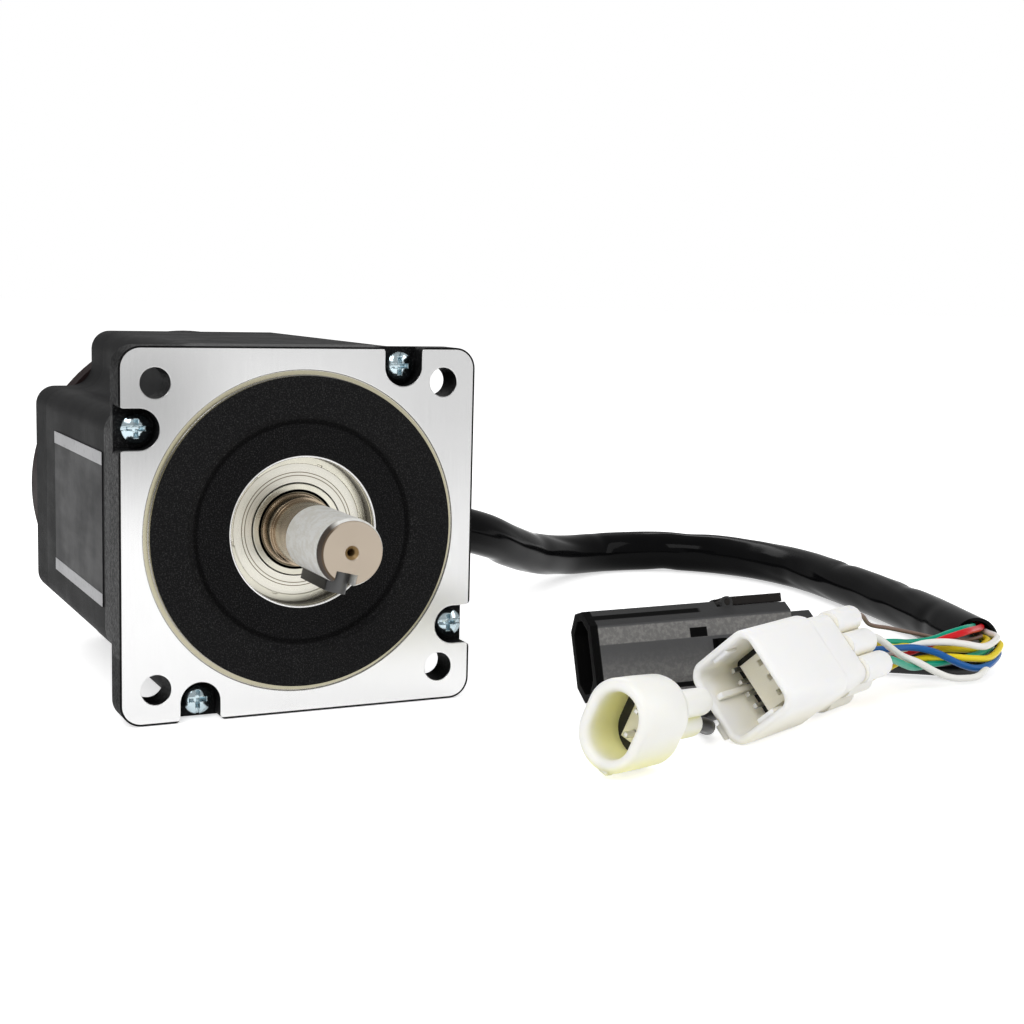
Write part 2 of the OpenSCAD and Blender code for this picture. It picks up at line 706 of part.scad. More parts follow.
// Sensor board, its three sensors and its screws
module hall_board() color("darkgreen") difference() {
    rod_y(board_r, board_y, board_y + board_t);
    rod_y(board_hole_r, board_y - cut, board_y + board_t + cut);
    round_axis(3) translate([0, 0, board_post_at]) rod_y(board_screw_r + gap / 2, board_y - cut, board_y + board_t + cut);
    translate([wire_hole_at[0], 0, wire_hole_at[1]]) rod_y(wire_hole_r, board_y - cut, board_y + board_t + cut);
}
module hall_sensors() color("black") for (a = [120, 180, 240]) rotate([0, a, 0])
    translate([-sensor_size[0] / 2, board_y + board_t, sensor_at - sensor_size[1] / 2])
        cube([sensor_size[0], sensor_size[2], sensor_size[1]]);
module board_screws() color("silver") round_axis(3) translate([0, 0, board_post_at])
    rear_screw(board_screw_r, board_screw_head_r, board_screw_head_t, cap_floor_y + cut + slip,
        board_y + board_t + board_screw_head_t);

// Blank name plate with two light bars on the left side
module side_slab(x, t, y, len, z, h) translate([x - t, y, z]) cube([t, len, h]);
module name_plate() color("dimgray") side_slab(-half, plate_t, plate_y, plate_len, -plate_h / 2, plate_h);
module plate_bars() color("silver") for (z = [-plate_h / 2, plate_h / 2 - bar_w])
    side_slab(-half - plate_t, bar_t, plate_y, plate_len, z, bar_w);

// Rubber grommet with a ribbed boot that holds the sleeve's end
inner_x = sqrt(cavity_r * cavity_r - outlet_z * outlet_z);
boot_x0 = half + grommet_collar_t;
module cable_grommet() color("black") translate([0, outlet_y, outlet_z]) rotate([0, 90, 0]) {
    translate([0, 0, inner_x]) cylinder(r = outlet_r - slip, h = boot_x0 - inner_x);
    translate([0, 0, half]) cylinder(r = grommet_collar_r, h = grommet_collar_t);
    translate([0, 0, boot_x0]) cylinder(r = boot_root_r, h = boot_len);
    for (i = [1 : boot_ribs]) translate([0, 0, boot_x0 + i * (boot_len) / boot_ribs - boot_rib_t])
        cylinder(r = boot_r, h = boot_rib_t);
}

// A tube swept along a route: the rings stand square to the way through their points
function unit3(v) = v / norm(v);
function heading_at(p, i) = unit3(p[min(i + 1, len(p) - 1)] - p[max(i - 1, 0)]);
function ring_at(p, i, r, n) = let (t = heading_at(p, i), s = unit3(cross(t, [0, 0, 1])), u = cross(s, t))
    [for (k = [0 : n - 1]) p[i] + r * (cos(k * 360 / n) * s + sin(k * 360 / n) * u)];
module tube(p, r, n) polyhedron(
    points = [for (i = [0 : len(p) - 1]) each ring_at(p, i, r, n)],
    faces = concat(
        [for (i = [0 : len(p) - 2], k = [0 : n - 1]) [i * n + k, (i + 1) * n + k, (i + 1) * n + (k + 1) % n]],
        [for (i = [0 : len(p) - 2], k = [0 : n - 1]) [i * n + k, (i + 1) * n + (k + 1) % n, i * n + (k + 1) % n]],
        [[for (k = [0 : n - 1]) k]],
        [[for (k = [n - 1 : -1 : 0]) (len(p) - 1) * n + k]]));
module cable_sleeve() color("black") translate(cable_shift) tube(sleeve_route, sleeve_d / 2, sleeve_sides);
module signal_wires() color("royalblue") translate(cable_shift) tube(signal_route, bundle_d / 2, lead_sides);
module sensor_lead() color("black") translate(cable_shift) tube(sensor_route, sensor_lead_d / 2, lead_sides);
module power_lead() color("black") translate(cable_shift) tube(power_route, power_lead_d / 2, lead_sides);

// Places a plug: the mouth's centre is over the spot, the plug runs along the heading and rests on the floor
function drop(points, roll) = -min([for (p = points) p[0] * sin(roll) + p[1] * cos(roll)]);
module plug(spot, heading, roll, lift, pitch = 0)
    translate([spot[0] + cable_shift[0], spot[1] + cable_shift[1], floor_z + lift])
    rotate([0, -pitch, heading]) rotate([roll, 0, 0]) children();

// Signal plug
module at_signal() plug(sig_spot, sig_heading, sig_roll, drop(cut_points(sig_w, sig_h, sig_cut), sig_roll)) children();
module at_cavities() for (c = [0 : sig_cols - 1], r = [0 : sig_rows - 1])
    translate([0, (c - (sig_cols - 1) / 2) * sig_pitch, (r - (sig_rows - 1) / 2) * sig_pitch]) children();
module bar_x(r, x0, x1) translate([x0, 0, 0]) rotate([0, 90, 0]) cylinder(r = r, h = x1 - x0);
module signal_housing() color("whitesmoke") at_signal() difference() {
    union() {
        along_x(0, sig_hood) cut_rect(sig_w, sig_h, sig_cut);
        along_x(sig_hood, sig_len - sig_boss_len)
            cut_rect(sig_w - 2 * sig_body_in, sig_h - 2 * sig_body_in, sig_cut);
        at_cavities() bar_x(sig_boss_r, sig_len - sig_boss_len, sig_len);
        along_x(sig_len - sig_boss_len, sig_len)
            square([(sig_cols - 1) * sig_pitch, (sig_rows - 1) * sig_pitch], center = true);
        translate([0, sig_w / 2 - cut, lug_up - sig_h / 2]) cube([lug_size[0], lug_size[2] + cut, lug_size[1]]);
    }
    along_x(-cut, sig_mouth) cut_rect(sig_w - 2 * hood_wall, sig_h - 2 * hood_wall, sig_cut - hood_wall / 2);
    at_cavities() bar_x(sig_wire_hole_r, sig_len - sig_wire_hole_t, sig_len + cut);
}
module signal_seal() color("black") at_signal() along_x(sig_mouth - seal_t, sig_mouth) difference() {
    cut_rect(sig_w - 2 * hood_wall - gap, sig_h - 2 * hood_wall - gap, sig_cut - hood_wall / 2);
    square([tower_w + gap, tower_h + gap], center = true);
    for (y = [-1, 1], i = [0 : sig_pins_per_side - 1])
        translate([y * sig_pin_at, (i - (sig_pins_per_side - 1) / 2) * sig_pin_pitch]) square(pin_w + gap, center = true);
}
module signal_insert() color("antiquewhite") at_signal() difference() {
    along_x(sig_mouth - tower_len, sig_mouth) square([tower_w, tower_h], center = true);
    for (z = [-1, 0, 1]) translate([sig_mouth - tower_len - cut, -tower_w / 2 - cut, z * tower_slot_t - tower_slot_w / 2])
        cube([tower_slot_t + cut, tower_slot_t, tower_slot_w]);
}
module signal_pins() color("gold") at_signal() for (y = [-1, 1], i = [0 : sig_pins_per_side - 1])
    translate([sig_mouth - pin_len, y * sig_pin_at - pin_w / 2,
        (i - (sig_pins_per_side - 1) / 2) * sig_pin_pitch - pin_w / 2]) cube([pin_len, pin_w, pin_w]);

// Sensor plug
sen_drop = sen_w / 2 + (sen_h - sen_w) / 2 * cos(sen_roll) - sen_hood * sin(sen_pitch);
module at_sensor() plug(sen_spot, sen_heading, sen_roll, sen_drop, sen_pitch) children();
module sensor_housing() color("beige") at_sensor() difference() {
    union() {
        along_x(0, sen_hood) oval(sen_w, sen_h);
        for (s = [-1, 1]) translate([0, 0, s * sen_boss_at]) bar_x(sen_boss_r, sen_hood, sen_len);
    }
    along_x(-cut, sen_mouth) oval(sen_w - 2 * hood_wall, sen_h - 2 * hood_wall);
    for (s = [-1, 1]) translate([0, 0, s * sen_boss_at]) bar_x(sig_wire_hole_r, sen_len - sig_wire_hole_t, sen_len + cut);
}
module sensor_seal() color("black") at_sensor() along_x(sen_mouth - seal_t, sen_mouth) difference() {
    oval(sen_w - 2 * hood_wall - gap, sen_h - 2 * hood_wall - gap);
    square([sen_tower_w + gap, sen_tower_h + gap], center = true);
}
module sensor_insert() color("cornsilk") at_sensor() difference() {
    union() {
        along_x(sen_mouth - sen_tower_len, sen_mouth) difference() {
            square([sen_tower_w, sen_tower_h], center = true);
            for (s = [-1, 1]) translate([0, s * sen_pin_at]) square(pin_w + gap, center = true);
        }
        translate([sen_mouth - sen_rib_len, -sen_tower_w / 2 - sen_rib_t, sen_rib_at - sen_rib_w / 2])
            cube([sen_rib_len - seal_t - gap, sen_rib_t + slip, sen_rib_w]);
    }
}
module sensor_pins() color("silver") at_sensor() for (s = [-1, 1])
    translate([sen_mouth - pin_len, -pin_w / 2, s * sen_pin_at - pin_w / 2]) cube([pin_len, pin_w, pin_w]);

// Power plug with its latch lever
module at_power() plug(pow_spot, pow_heading, pow_roll, drop(cut_points(pow_w, pow_h, pow_cut), pow_roll), pow_pitch)
    children();
pivot_x = pow_len - latch_len + pivot_r;
latch_seat = pow_h / 2 - latch_step;
pivot_z = latch_seat + pivot_r + gap;
module power_housing() color("dimgray") at_power() difference() {
    union() {
        difference() {
            along_x(0, pow_len) cut_rect(pow_w, pow_h, pow_cut);
            translate([pivot_x - 2 * ear_r, -pow_w, latch_seat]) cube([pow_len, 2 * pow_w, pow_h]);
        }
        for (s = [0, 1]) mirror([0, s, 0]) translate([0, latch_w / 2 + gap, 0]) {
            translate([pivot_x, 0, pivot_z]) rotate([-90, 0, 0]) cylinder(r = ear_r, h = ear_t);
            translate([pivot_x - ear_r, 0, latch_seat - cut]) cube([2 * ear_r, ear_t, pivot_z - latch_seat + cut]);
        }
        translate([catch_at, -pow_w / 2 - catch_size[1], -catch_size[2] / 2])
            cube([catch_size[0], catch_size[1] + slip, catch_size[2]]);
    }
    along_x(-cut, pow_mouth) cut_rect(pow_w - 2 * hood_wall, pow_h - 2 * hood_wall, pow_cut - hood_wall / 2);
    translate([pivot_x, -pow_w, pivot_z]) rotate([-90, 0, 0]) cylinder(r = pivot_r + slip, h = 2 * pow_w);
}
module power_latch() color("gray") at_power() {
    translate([pivot_x, -latch_w / 2 - gap - ear_t, pivot_z]) rotate([-90, 0, 0])
        cylinder(r = pivot_r, h = latch_w + 2 * gap + 2 * ear_t);
    translate([pivot_x, -latch_w / 2, pivot_z - pivot_r]) cube([latch_len - pivot_r, latch_w, latch_t]);
}
module power_blades() color("silver") at_power() for (i = [0 : blades - 1])
    translate([pow_mouth - blade_size[0], -blade_size[1] / 2, (i - (blades - 1) / 2) * blade_pitch - blade_size[2] / 2])
        cube([blade_size[0], blade_size[1], blade_size[2]]);
module power_rear_seal() color("black") at_power() along_x(pow_len, pow_len + tail_run) cut_rect(tail_w, tail_h, tail_cut);

front_cap();
stator_stack();
front_insulator();
rear_insulator();
phase_coils();
rear_cap();
rear_cover();
cover_screws();
through_screws();
front_outer_ring();
front_shields();
front_inner_ring();
front_balls();
front_cage();
rear_outer_ring();
rear_shields();
rear_inner_ring();
rear_balls();
rear_cage();
wave_washer();
shaft();
shaft_key();
rotor_core();
rotor_magnets();
sensor_magnet();
hall_board();
hall_sensors();
board_screws();
name_plate();
plate_bars();
cable_grommet();
cable_sleeve();
signal_wires();
sensor_lead();
power_lead();
signal_housing();
signal_seal();
signal_insert();
signal_pins();
sensor_housing();
sensor_seal();
sensor_insert();
sensor_pins();
power_housing();
power_latch();
power_blades();
power_rear_seal();
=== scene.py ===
"""Dresses a brushless DC motor: finishes for its metal, paint and plastic, its sleeved cable and its single wires."""

import json
import random
from math import atan2, cos, exp, pi, radians, sin, tau

import bmesh
import bpy
from bpy.props import FloatProperty, FloatVectorProperty, IntProperty, PointerProperty
from mathutils import Matrix, Vector

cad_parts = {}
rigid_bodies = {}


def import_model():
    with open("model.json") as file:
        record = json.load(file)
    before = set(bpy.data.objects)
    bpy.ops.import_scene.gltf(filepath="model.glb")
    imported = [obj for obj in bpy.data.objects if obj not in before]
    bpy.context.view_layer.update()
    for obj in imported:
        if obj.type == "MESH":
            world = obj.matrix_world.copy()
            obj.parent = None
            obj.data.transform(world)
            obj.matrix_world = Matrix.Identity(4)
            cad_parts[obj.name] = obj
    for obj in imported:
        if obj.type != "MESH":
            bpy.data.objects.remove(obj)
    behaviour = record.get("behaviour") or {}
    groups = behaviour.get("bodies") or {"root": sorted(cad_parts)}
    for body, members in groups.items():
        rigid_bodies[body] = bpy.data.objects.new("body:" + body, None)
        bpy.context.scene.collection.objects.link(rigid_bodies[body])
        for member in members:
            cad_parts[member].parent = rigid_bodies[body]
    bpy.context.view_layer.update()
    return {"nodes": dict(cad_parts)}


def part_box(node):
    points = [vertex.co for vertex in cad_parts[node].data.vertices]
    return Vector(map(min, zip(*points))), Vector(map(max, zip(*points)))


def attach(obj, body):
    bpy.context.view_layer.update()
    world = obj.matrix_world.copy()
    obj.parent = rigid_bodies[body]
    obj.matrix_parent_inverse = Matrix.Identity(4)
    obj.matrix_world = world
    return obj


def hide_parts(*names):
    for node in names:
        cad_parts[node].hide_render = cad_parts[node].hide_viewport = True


bl_info = {
    "name": "Brushless motor looks",
    "version": (1, 0, 0),
    "blender": (4, 5, 0),
    "location": "View3D > Sidebar > Motor",
    "description": "Finishes, cable, wires and stage for a square-flanged brushless motor",
    "category": "Object",
}

MM = 0.001
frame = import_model()
FLOOR_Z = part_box("front_cap")[0][2]

# Lamps: name, place, what they point at, and size, in metres
LAMPS = (("key", (-0.55, -0.55, 0.75), (0, 0, 0), (0.7, 0.5)),
         ("side", (0.75, -0.35, 0.35), (0.08, 0, 0), (0.25, 0.7)),
         ("rear", (0.15, 0.75, 0.6), (0.1, 0.05, 0), (0.9, 0.15)))

# Centre points of the cable, as the part's source has them, and half the sleeve's width and height, in millimetres
SLEEVE_ROUTE = ((61, 90, -14), (68, 90, -14), (79, 91.5, -15.2), (93, 98.5, -19), (108, 111, -25),
                (126, 127, -31), (146, 143, -35), (166, 150, -36), (186, 147, -36), (202, 134, -36),
                (211, 114, -36), (213, 92, -36), (210, 68, -36), (206, 44, -36), (200, 18, -36),
                (193, -4, -36), (188, -19, -36))
SLEEVE_HALF = (6.9, 6.85)
SENSOR_ROUTE = ((187.7, -19.1, -40.6), (186, -24, -41), (181, -27, -41.2), (174, -26, -41.2), (166, -20.5, -41.2),
                (156, -14.5, -41.2), (146, -13.5, -41.2), (137, -18.2, -41.2), (129.5, -25.5, -41.2),
                (121, -31.3, -41.2), (110, -35, -41.2), (100, -37.8, -41.2), (88, -42, -41.2), (82, -45.2, -41.2),
                (79.2, -49.5, -41.1), (78, -54.6, -40.6), (75.2, -58.9, -38.6), (70.2, -61.1, -37.1))
POWER_ROUTE = ((184.3, -18.1, -35.6), (182, -23.4, -35.6), (176.3, -27, -35.8), (168, -27.6, -36.4),
               (159, -26, -36), (150.5, -24.5, -33.8), (144, -23.7, -31.2), (137.6, -23, -29.7),
               (130.1, -22.2, -29.8))

WIRE_COLOURS = {"teal": (0, 0.34, 0.21), "red": (0.62, 0.01, 0.015), "white": (0.86, 0.85, 0.81),
                "yellow": (0.83, 0.65, 0.012), "blue": (0.004, 0.10, 0.34), "brown": (0.2, 0.13, 0.1)}
# Signal wires: colour, cavity (column, row), radius, points from inside the sleeve to before the plug
WIRES = (
    ("teal", (2, 2), 0.90,
     ((189.5, -12.1, -31.6), (187.4, -18.3, -31.6), (174.9, -29.6, -29), (169.7, -29.3, -30),
     (164.1, -28.2, -31.7), (157.4, -27.4, -32.1), (150.5, -28.6, -31.2))),
    ("red", (1, 0), 0.90,
     ((191.7, -12.9, -31.8), (189.7, -19, -31.8), (172.7, -32.8, -29), (167, -32.5, -30.2),
     (162.6, -31.6, -31.6), (157.7, -30.5, -33.4), (151.9, -31.2, -34.5))),
    ("white", (2, 1), 0.90,
     ((193.6, -13.5, -33.4), (191.6, -19.7, -33.4), (189.5, -25.8, -33.4), (177.6, -34.2, -33.2),
     (170.4, -34.5, -31.9), (164.1, -34.1, -31), (158.5, -32.8, -31.2), (153.3, -32.4, -32.1))),
    ("yellow", (2, 0), 0.90,
     ((194.6, -13.8, -35.4), (192.5, -20, -35.4), (190.5, -26.1, -35.4), (181.2, -32.5, -36.8),
     (172.8, -34.9, -35.9), (165.6, -34.6, -35), (159.9, -33.5, -35), (154.9, -32.5, -35.5),
     (149.6, -33.4, -35.5))),
    ("blue", (1, 1), 0.90,
     ((194.2, -13.7, -37.6), (192.1, -19.9, -37.6), (190.1, -26, -37.6), (180.3, -33.6, -38.3),
     (173.3, -36.1, -38.3), (168.7, -35.9, -37.1), (164, -35.7, -35), (160, -34.8, -33.2),
     (154.9, -33.7, -32), (148.4, -34.5, -31.4))),
    ("white", (0, 1), 0.90,
     ((192.3, -13.1, -38.6), (190.2, -19.2, -38.6), (188.2, -25.4, -38.6), (171.6, -39.6, -39.2),
     (165.9, -39.3, -39.7), (161.4, -39.1, -39), (157.4, -38.2, -37.3), (152.9, -37.2, -34.9),
     (146.4, -37.8, -32.3))),
    ("teal", (0, 0), 0.90,
     ((192.5, -13.1, -36.2), (190.4, -19.3, -36.2), (188.7, -24.5, -36.2), (175.4, -33.1, -35.6),
     (168.5, -33.3, -36.3), (159.4, -34.2, -36.6), (151.5, -36.6, -36.2))),
    ("yellow", (1, 2), 0.90,
     ((191.4, -12.7, -34.4), (189.3, -18.9, -34.4), (187.6, -24.1, -34.4), (177.1, -31.1, -34.4),
     (168.9, -30.7, -34), (161.7, -29.2, -33.5), (155.2, -29, -32.6), (148.7, -30.1, -31.9))),
    ("brown", (0, 2), 0.55,
     ((190, -12.3, -33.4), (188, -18.5, -33.4), (186.5, -22.7, -33.4), (176.1, -28.1, -32.6),
     (168.2, -27.4, -31.8), (160.9, -25.8, -30.2), (151.4, -27.2, -27.9), (142.1, -30.6, -25.6))))

# White plug and uncoloured plug: mouth's centre in millimetres, heading, roll and pitch in degrees
SIGNAL_PLACE = ((81.2, -62.3, -29.82), 24, -42)
SENSOR_PLACE = ((40.7, -75.5, -31.37), 24, 22, -5)
# White plug: section's width, height and cut corners, how round they are, pitch of its cavities
SIGNAL_SECTION, SIGNAL_ROUND, SIGNAL_PITCH = (20.5, 21.5, 2.5), 3.6, 6.6
# Uncoloured plug: section's width and height, its sockets' distance from the middle, its rib
SENSOR_SECTION, SENSOR_SPLIT = (16.3, 20.6), 2.8
SENSOR_RIB = ((0.4, -3.6, -10.15), (3, -1.2, -8.2), 0.4)
# Stations of the white plug at which its wires straighten and end
WIRE_STRAIGHT, WIRE_END = 54.5, 48.8
# Rear sockets of both plugs: stations and radii, from the housing to the wire's hole
SIGNAL_SOCKET = ((37.5, 3.25), (48.6, 3.2), (49.4, 2.95), (49.85, 2.5), (50, 1.8), (49.4, 1.3), (44, 1.28))
SENSOR_SOCKET = ((16, 3.4), (20, 3.25), (31.2, 3.1), (32.2, 2.85), (32.8, 2.3), (33, 1.7), (32.4, 1.45),
                 (28, 1.4))
# White plug's blocks: two corners and the rounding of the edges; the first joins the sockets, the rest are ribs
SIGNAL_BLOCKS = (((37.5, -6.6, -6.6), (49.2, 6.6, 6.6), 0.4), ((0.3, 9.6, -7.2), (9, 11.45, -3.3), 0.5),
                 ((2.5, 6.6, 1.2), (17.9, 8.7, 2.6), 0.3), ((0.8, -3.6, -9.2), (5.5, 1.4, -7.7), 0.4),
                 ((5, -2.2, -9.2), (17.9, -0.4, -8), 0.3), ((0.5, -2, 8), (5, 2.6, 9.4), 0.35))

# Flange in millimetres: half its width, its corners' radius and the black rim round its face
FACE_HALF, FACE_CORNER, FACE_RIM = 43, 5, 0.45
# Reaches from the axis: groove round the spigot, its brassy part, the dark lines in it, step on the spigot
GROOVE, BRASS, BRASS_LINES, STEP_RING = (36.40, 37.85), (36.6, 37.6), (36.55, 37.75), (25.3, 26.5)
# Radius of the bearing seat; where along Y the groove, the seat and the spring in its wall lie
SEAT_R, GROOVE_Y, SEAT_Y, SPRING_Y = 17.6, (-1.12, 0.5), (-0.27, 14.6), (0.9, 1.5)
# Where the painted body begins behind the flange
BODY_FROM = (8.5, 9.5)
# Painted shade on the ground face, standing in for its uneven reflection: middle, reach and depth
PAINTED_FACE_SHADE = (((-38, 0, 27), 30, 0.42), ((37, 0, 20), 44, 0.2))
# Lines of the bearings: from and to in reach, and their share of the steel's light; the first two on the rings are
# painted shadow in the gap round the shaft
RING_LINES = ((8.2, 8.85, 0.3), (8.85, 9.5, 0), (17.2, 17.3, 0.12))
SHIELD_LINES = ((12.65, 12.85, 0.3), (13.4, 13.6, 0.3))
# Shaft: face of its tip, end of the band of painted dark reflection, end of the blasted length, radii of the centre
# hole and the rim
TIP_Y, BAND_Y, BLAST_Y, CENTRE_R, RIM_R = -31.9, -30, -9.4, 1.8, 6.6
# Heads of the through screws, across and up from the axis, and the radius of their domes
SCREWS, DOME_R = ((-38.5, 24.5), (24.5, 38.5), (38.5, -24.5), (-24.5, -38.5)), 4.2
# Power plug in its own frame: lighter strip and foot, scuffed and with painted sheen, and dark top, by height, and
# where the flank in view lies
SHEEN_WEAR_STRIP, SHEEN_WEAR_FOOT, DARK_TOP, FLANK = (2.2, 6.4), (-9.5, 1.5), (6.6, 7.2), (-6.3, -6.2)
# Half its mouth, the mouth's depth and how deep its black edge reaches
MOUTH_HALF, MOUTH_DEPTH, MOUTH_EDGE = (5.1, 9.6), 30, (1.8, 2.1)
# Windows in its flank, painted black as the shade in them: from and to along it, from and to up it
WINDOWS = ((26.3, 31, 2.2, 4.6), (32.2, 35.4, -1.2, 1.4))
# Its mouth's centre, and which way it points, its left and its up
POWER_PLACE = ((67, -15.5, -31.77), (-0.994, 0.1045, -0.0314), (0.1091, 0.9448, -0.3089), (0.0026, 0.3104, 0.9506))


def colour_setting(name, description, rgb):
    return FloatVectorProperty(name=name, description=description, default=rgb, subtype="COLOR")


class StageSettings(bpy.types.PropertyGroup):
    """Camera and light of the stage"""

    lens: FloatProperty(name="Lens", description="Focal length of the camera", default=58.68, unit="CAMERA")
    place: FloatVectorProperty(name="Camera place", description="Where the camera stands",
                               default=(-0.1272, -0.3664, 0.0584), subtype="TRANSLATION", unit="LENGTH")
    yaw: FloatProperty(name="Yaw", description="Turn from +Y towards +X", default=radians(26.32), unit="ROTATION")
    pitch: FloatProperty(name="Pitch", description="Downward tilt", default=radians(7.76), unit="ROTATION")
    roll: FloatProperty(name="Roll", description="Lean of the camera", default=radians(1.48), unit="ROTATION")
    sky: FloatProperty(name="Sky", description="Strength of the even light", default=0.55)
    key: FloatProperty(name="Key", description="Power of the large lamp at the front left", default=5, unit="POWER")
    side: FloatProperty(name="Side", description="Power of the tall lamp at the right", default=1.4, unit="POWER")
    rear: FloatProperty(name="Rear", description="Power of the strip above and behind", default=2.2, unit="POWER")
    floor_glow: FloatProperty(name="Floor glow", description="How white the camera sees the floor", default=0.62)


class MetalSettings(bpy.types.PropertyGroup):
    """Colours of the metal and the paint"""

    face: colour_setting("Ground face", "Aluminium of the flange's face", (0.775, 0.775, 0.775))
    paint: colour_setting("Black paint", "Paint of the front cap", (0.004, 0.004, 0.0044))
    body: colour_setting("Body paint", "Paint of the stack and the rear cap", (0.018, 0.018, 0.0185))
    cover: colour_setting("Cover paint", "Paint of the round rear cover", (0.021, 0.0135, 0.0135))
    zinc: colour_setting("Zinc", "Plating of the screws", (0.60, 0.72, 0.77))
    edge_r: FloatProperty(name="Edge radius", description="How far the light sees the edges rounded",
                          default=0.35 * MM, unit="LENGTH")


class PlugSettings(bpy.types.PropertyGroup):
    """Colours of the three plugs"""

    white: colour_setting("White", "Housing of the signal plug", (0.95, 0.945, 0.93))
    natural: colour_setting("Natural", "Housing of the sensor plug", (0.97, 0.965, 0.91))
    cream: colour_setting("Cream", "Towers inside the mouths", (0.72, 0.69, 0.57))
    black: colour_setting("Black", "Housing of the power plug", (0.075, 0.075, 0.077))


class CableSettings(bpy.types.PropertyGroup):
    """Sizes and colour of the cable"""

    jacket: colour_setting("Jacket", "Soft black PVC", (0.0025, 0.0025, 0.0028))
    rings: IntProperty(name="Rings", description="Rings along the sleeve", default=220)
    sides: IntProperty(name="Sides", description="Sides of the sleeve's section", default=48)


class Wiring:
    """Short calls for wiring one node tree"""

    def __init__(self, tree):
        self.tree = tree

    def feed(self, socket, value):
        if isinstance(value, bpy.types.NodeSocket):
            self.tree.links.new(value, socket)
        else:
            socket.default_value = value

    def add(self, kind, values=None, **settings):
        node = self.tree.nodes.new(kind)
        for key, value in settings.items():
            setattr(node, key, value)
        for key, value in (values or {}).items():
            self.feed(node.inputs[key], value)
        return node

    def math(self, operation, *values):
        return self.add("ShaderNodeMath", dict(enumerate(values)), operation=operation).outputs[0]

    def plus(self, first, second):
        return self.math("ADD", first, second)

    def minus(self, first, second):
        return self.math("SUBTRACT", first, second)

    def times(self, first, second):
        return self.math("MULTIPLY", first, second)

    def least(self, first, second):
        return self.math("MINIMUM", first, second)

    def most(self, first, second):
        return self.math("MAXIMUM", first, second)

    def absolute(self, value):
        return self.math("ABSOLUTE", value)

    def vector(self, operation, *values):
        node = self.add("ShaderNodeVectorMath", dict(enumerate(values)), operation=operation)
        return node.outputs["Value" if operation in ("LENGTH", "DOT_PRODUCT") else "Vector"]

    def object_point(self):
        return self.add("ShaderNodeTexCoord").outputs["Object"]

    def split(self, vector):
        node = self.add("ShaderNodeSeparateXYZ", {"Vector": vector})
        return node.outputs["X"], node.outputs["Y"], node.outputs["Z"]

    def join(self, x, y, z):
        return self.add("ShaderNodeCombineXYZ", {"X": x, "Y": y, "Z": z}).outputs[0]

    def step(self, value, low, high, to_min=0, to_max=1):
        node = self.add("ShaderNodeMapRange", {"Value": value, "From Min": low, "From Max": high, "To Min": to_min,
                                               "To Max": to_max}, interpolation_type="SMOOTHSTEP")
        return node.outputs["Result"]

    def noise(self, vector, scale, detail=3, roughness=0.55):
        return self.add("ShaderNodeTexNoise", {"Vector": vector, "Scale": scale, "Detail": detail,
                                               "Roughness": roughness}).outputs["Fac"]

    def blend(self, factor, first, second):
        """Mix of two colours, each a socket or red, green and blue"""
        node = self.add("ShaderNodeMix", {0: factor}, data_type="RGBA")
        for socket, value in ((node.inputs[6], first), (node.inputs[7], second)):
            self.feed(socket, value if isinstance(value, bpy.types.NodeSocket) else (*value[:3], 1))
        return node.outputs[2]

    def step_mm(self, value, low, high, to_min=0, to_max=1):
        """A step whose ends are in millimetres"""
        return self.step(value, low * MM, high * MM, to_min, to_max)

    def band(self, value, low, high, soft):
        """One between low and high and nothing outside, with soft ends; in millimetres"""
        rise = self.step(value, low * MM - soft * MM, low * MM + soft * MM)
        fall = self.step(value, high * MM - soft * MM, high * MM + soft * MM, 1, 0)
        return self.times(rise, fall)

    def bump(self, height, strength, distance, normal=None):
        values = {"Height": height, "Strength": strength, "Distance": distance}
        if normal is not None:
            values["Normal"] = normal
        return self.add("ShaderNodeBump", values).outputs["Normal"]


def shared_effect(name, inputs, outputs, wire):
    """A shader node group with named inputs and outputs, built once"""
    if name in bpy.data.node_groups:
        return bpy.data.node_groups[name]
    tree = bpy.data.node_groups.new(name, "ShaderNodeTree")
    for label, default in inputs:
        kind = "NodeSocketVector" if isinstance(default, tuple) else "NodeSocketFloat"
        socket = tree.interface.new_socket(label, in_out="INPUT", socket_type=kind)
        socket.default_value = default
    for label in outputs:
        kind = "NodeSocketVector" if label == "Normal" else "NodeSocketFloat"
        tree.interface.new_socket(label, in_out="OUTPUT", socket_type=kind)
    w = Wiring(tree)
    start, end = tree.nodes.new("NodeGroupInput"), tree.nodes.new("NodeGroupOutput")
    for label, socket in wire(w, start.outputs).items():
        tree.links.new(socket, end.inputs[label])
    return tree


def worn_edges():
    def wire(w, given):
        soft = w.add("ShaderNodeBevel", {"Radius": given["Radius"]}, samples=6).outputs["Normal"]
        sharp = w.add("ShaderNodeNewGeometry").outputs["Normal"]
        turn = w.minus(1, w.vector("DOT_PRODUCT", soft, sharp))
        spots = w.noise(w.object_point(), 900, 4, 0.7)
        mask = w.times(w.step(turn, 0.02, 0.25), w.step(spots, 0.35, 0.6))
        return {"Mask": mask, "Normal": soft}

    return shared_effect("Worn edges", (("Radius", 0.0004),), ("Mask", "Normal"), wire)


def fine_grain():
    def wire(w, given):
        point = w.object_point()
        coarse = w.noise(point, given["Scale"], 2, 0.5)
        fine = w.noise(point, w.times(given["Scale"], 3.7), 2, 0.6)
        height = w.plus(w.times(coarse, 0.65), w.times(fine, 0.35))
        return {"Height": height, "Mask": w.step(height, 0.52, 0.62)}

    return shared_effect("Fine grain", (("Scale", 2500),), ("Height", "Mask"), wire)


def smudges():
    def wire(w, given):
        point = w.object_point()
        wide = w.noise(point, given["Scale"], 4, 0.6)
        streak = w.noise(w.vector("MULTIPLY", point, (1, 0.25, 1)), w.times(given["Scale"], 6), 3)
        return {"Mask": w.plus(w.times(wide, 0.7), w.times(streak, 0.3))}

    return shared_effect("Smudges", (("Scale", 40),), ("Mask",), wire)


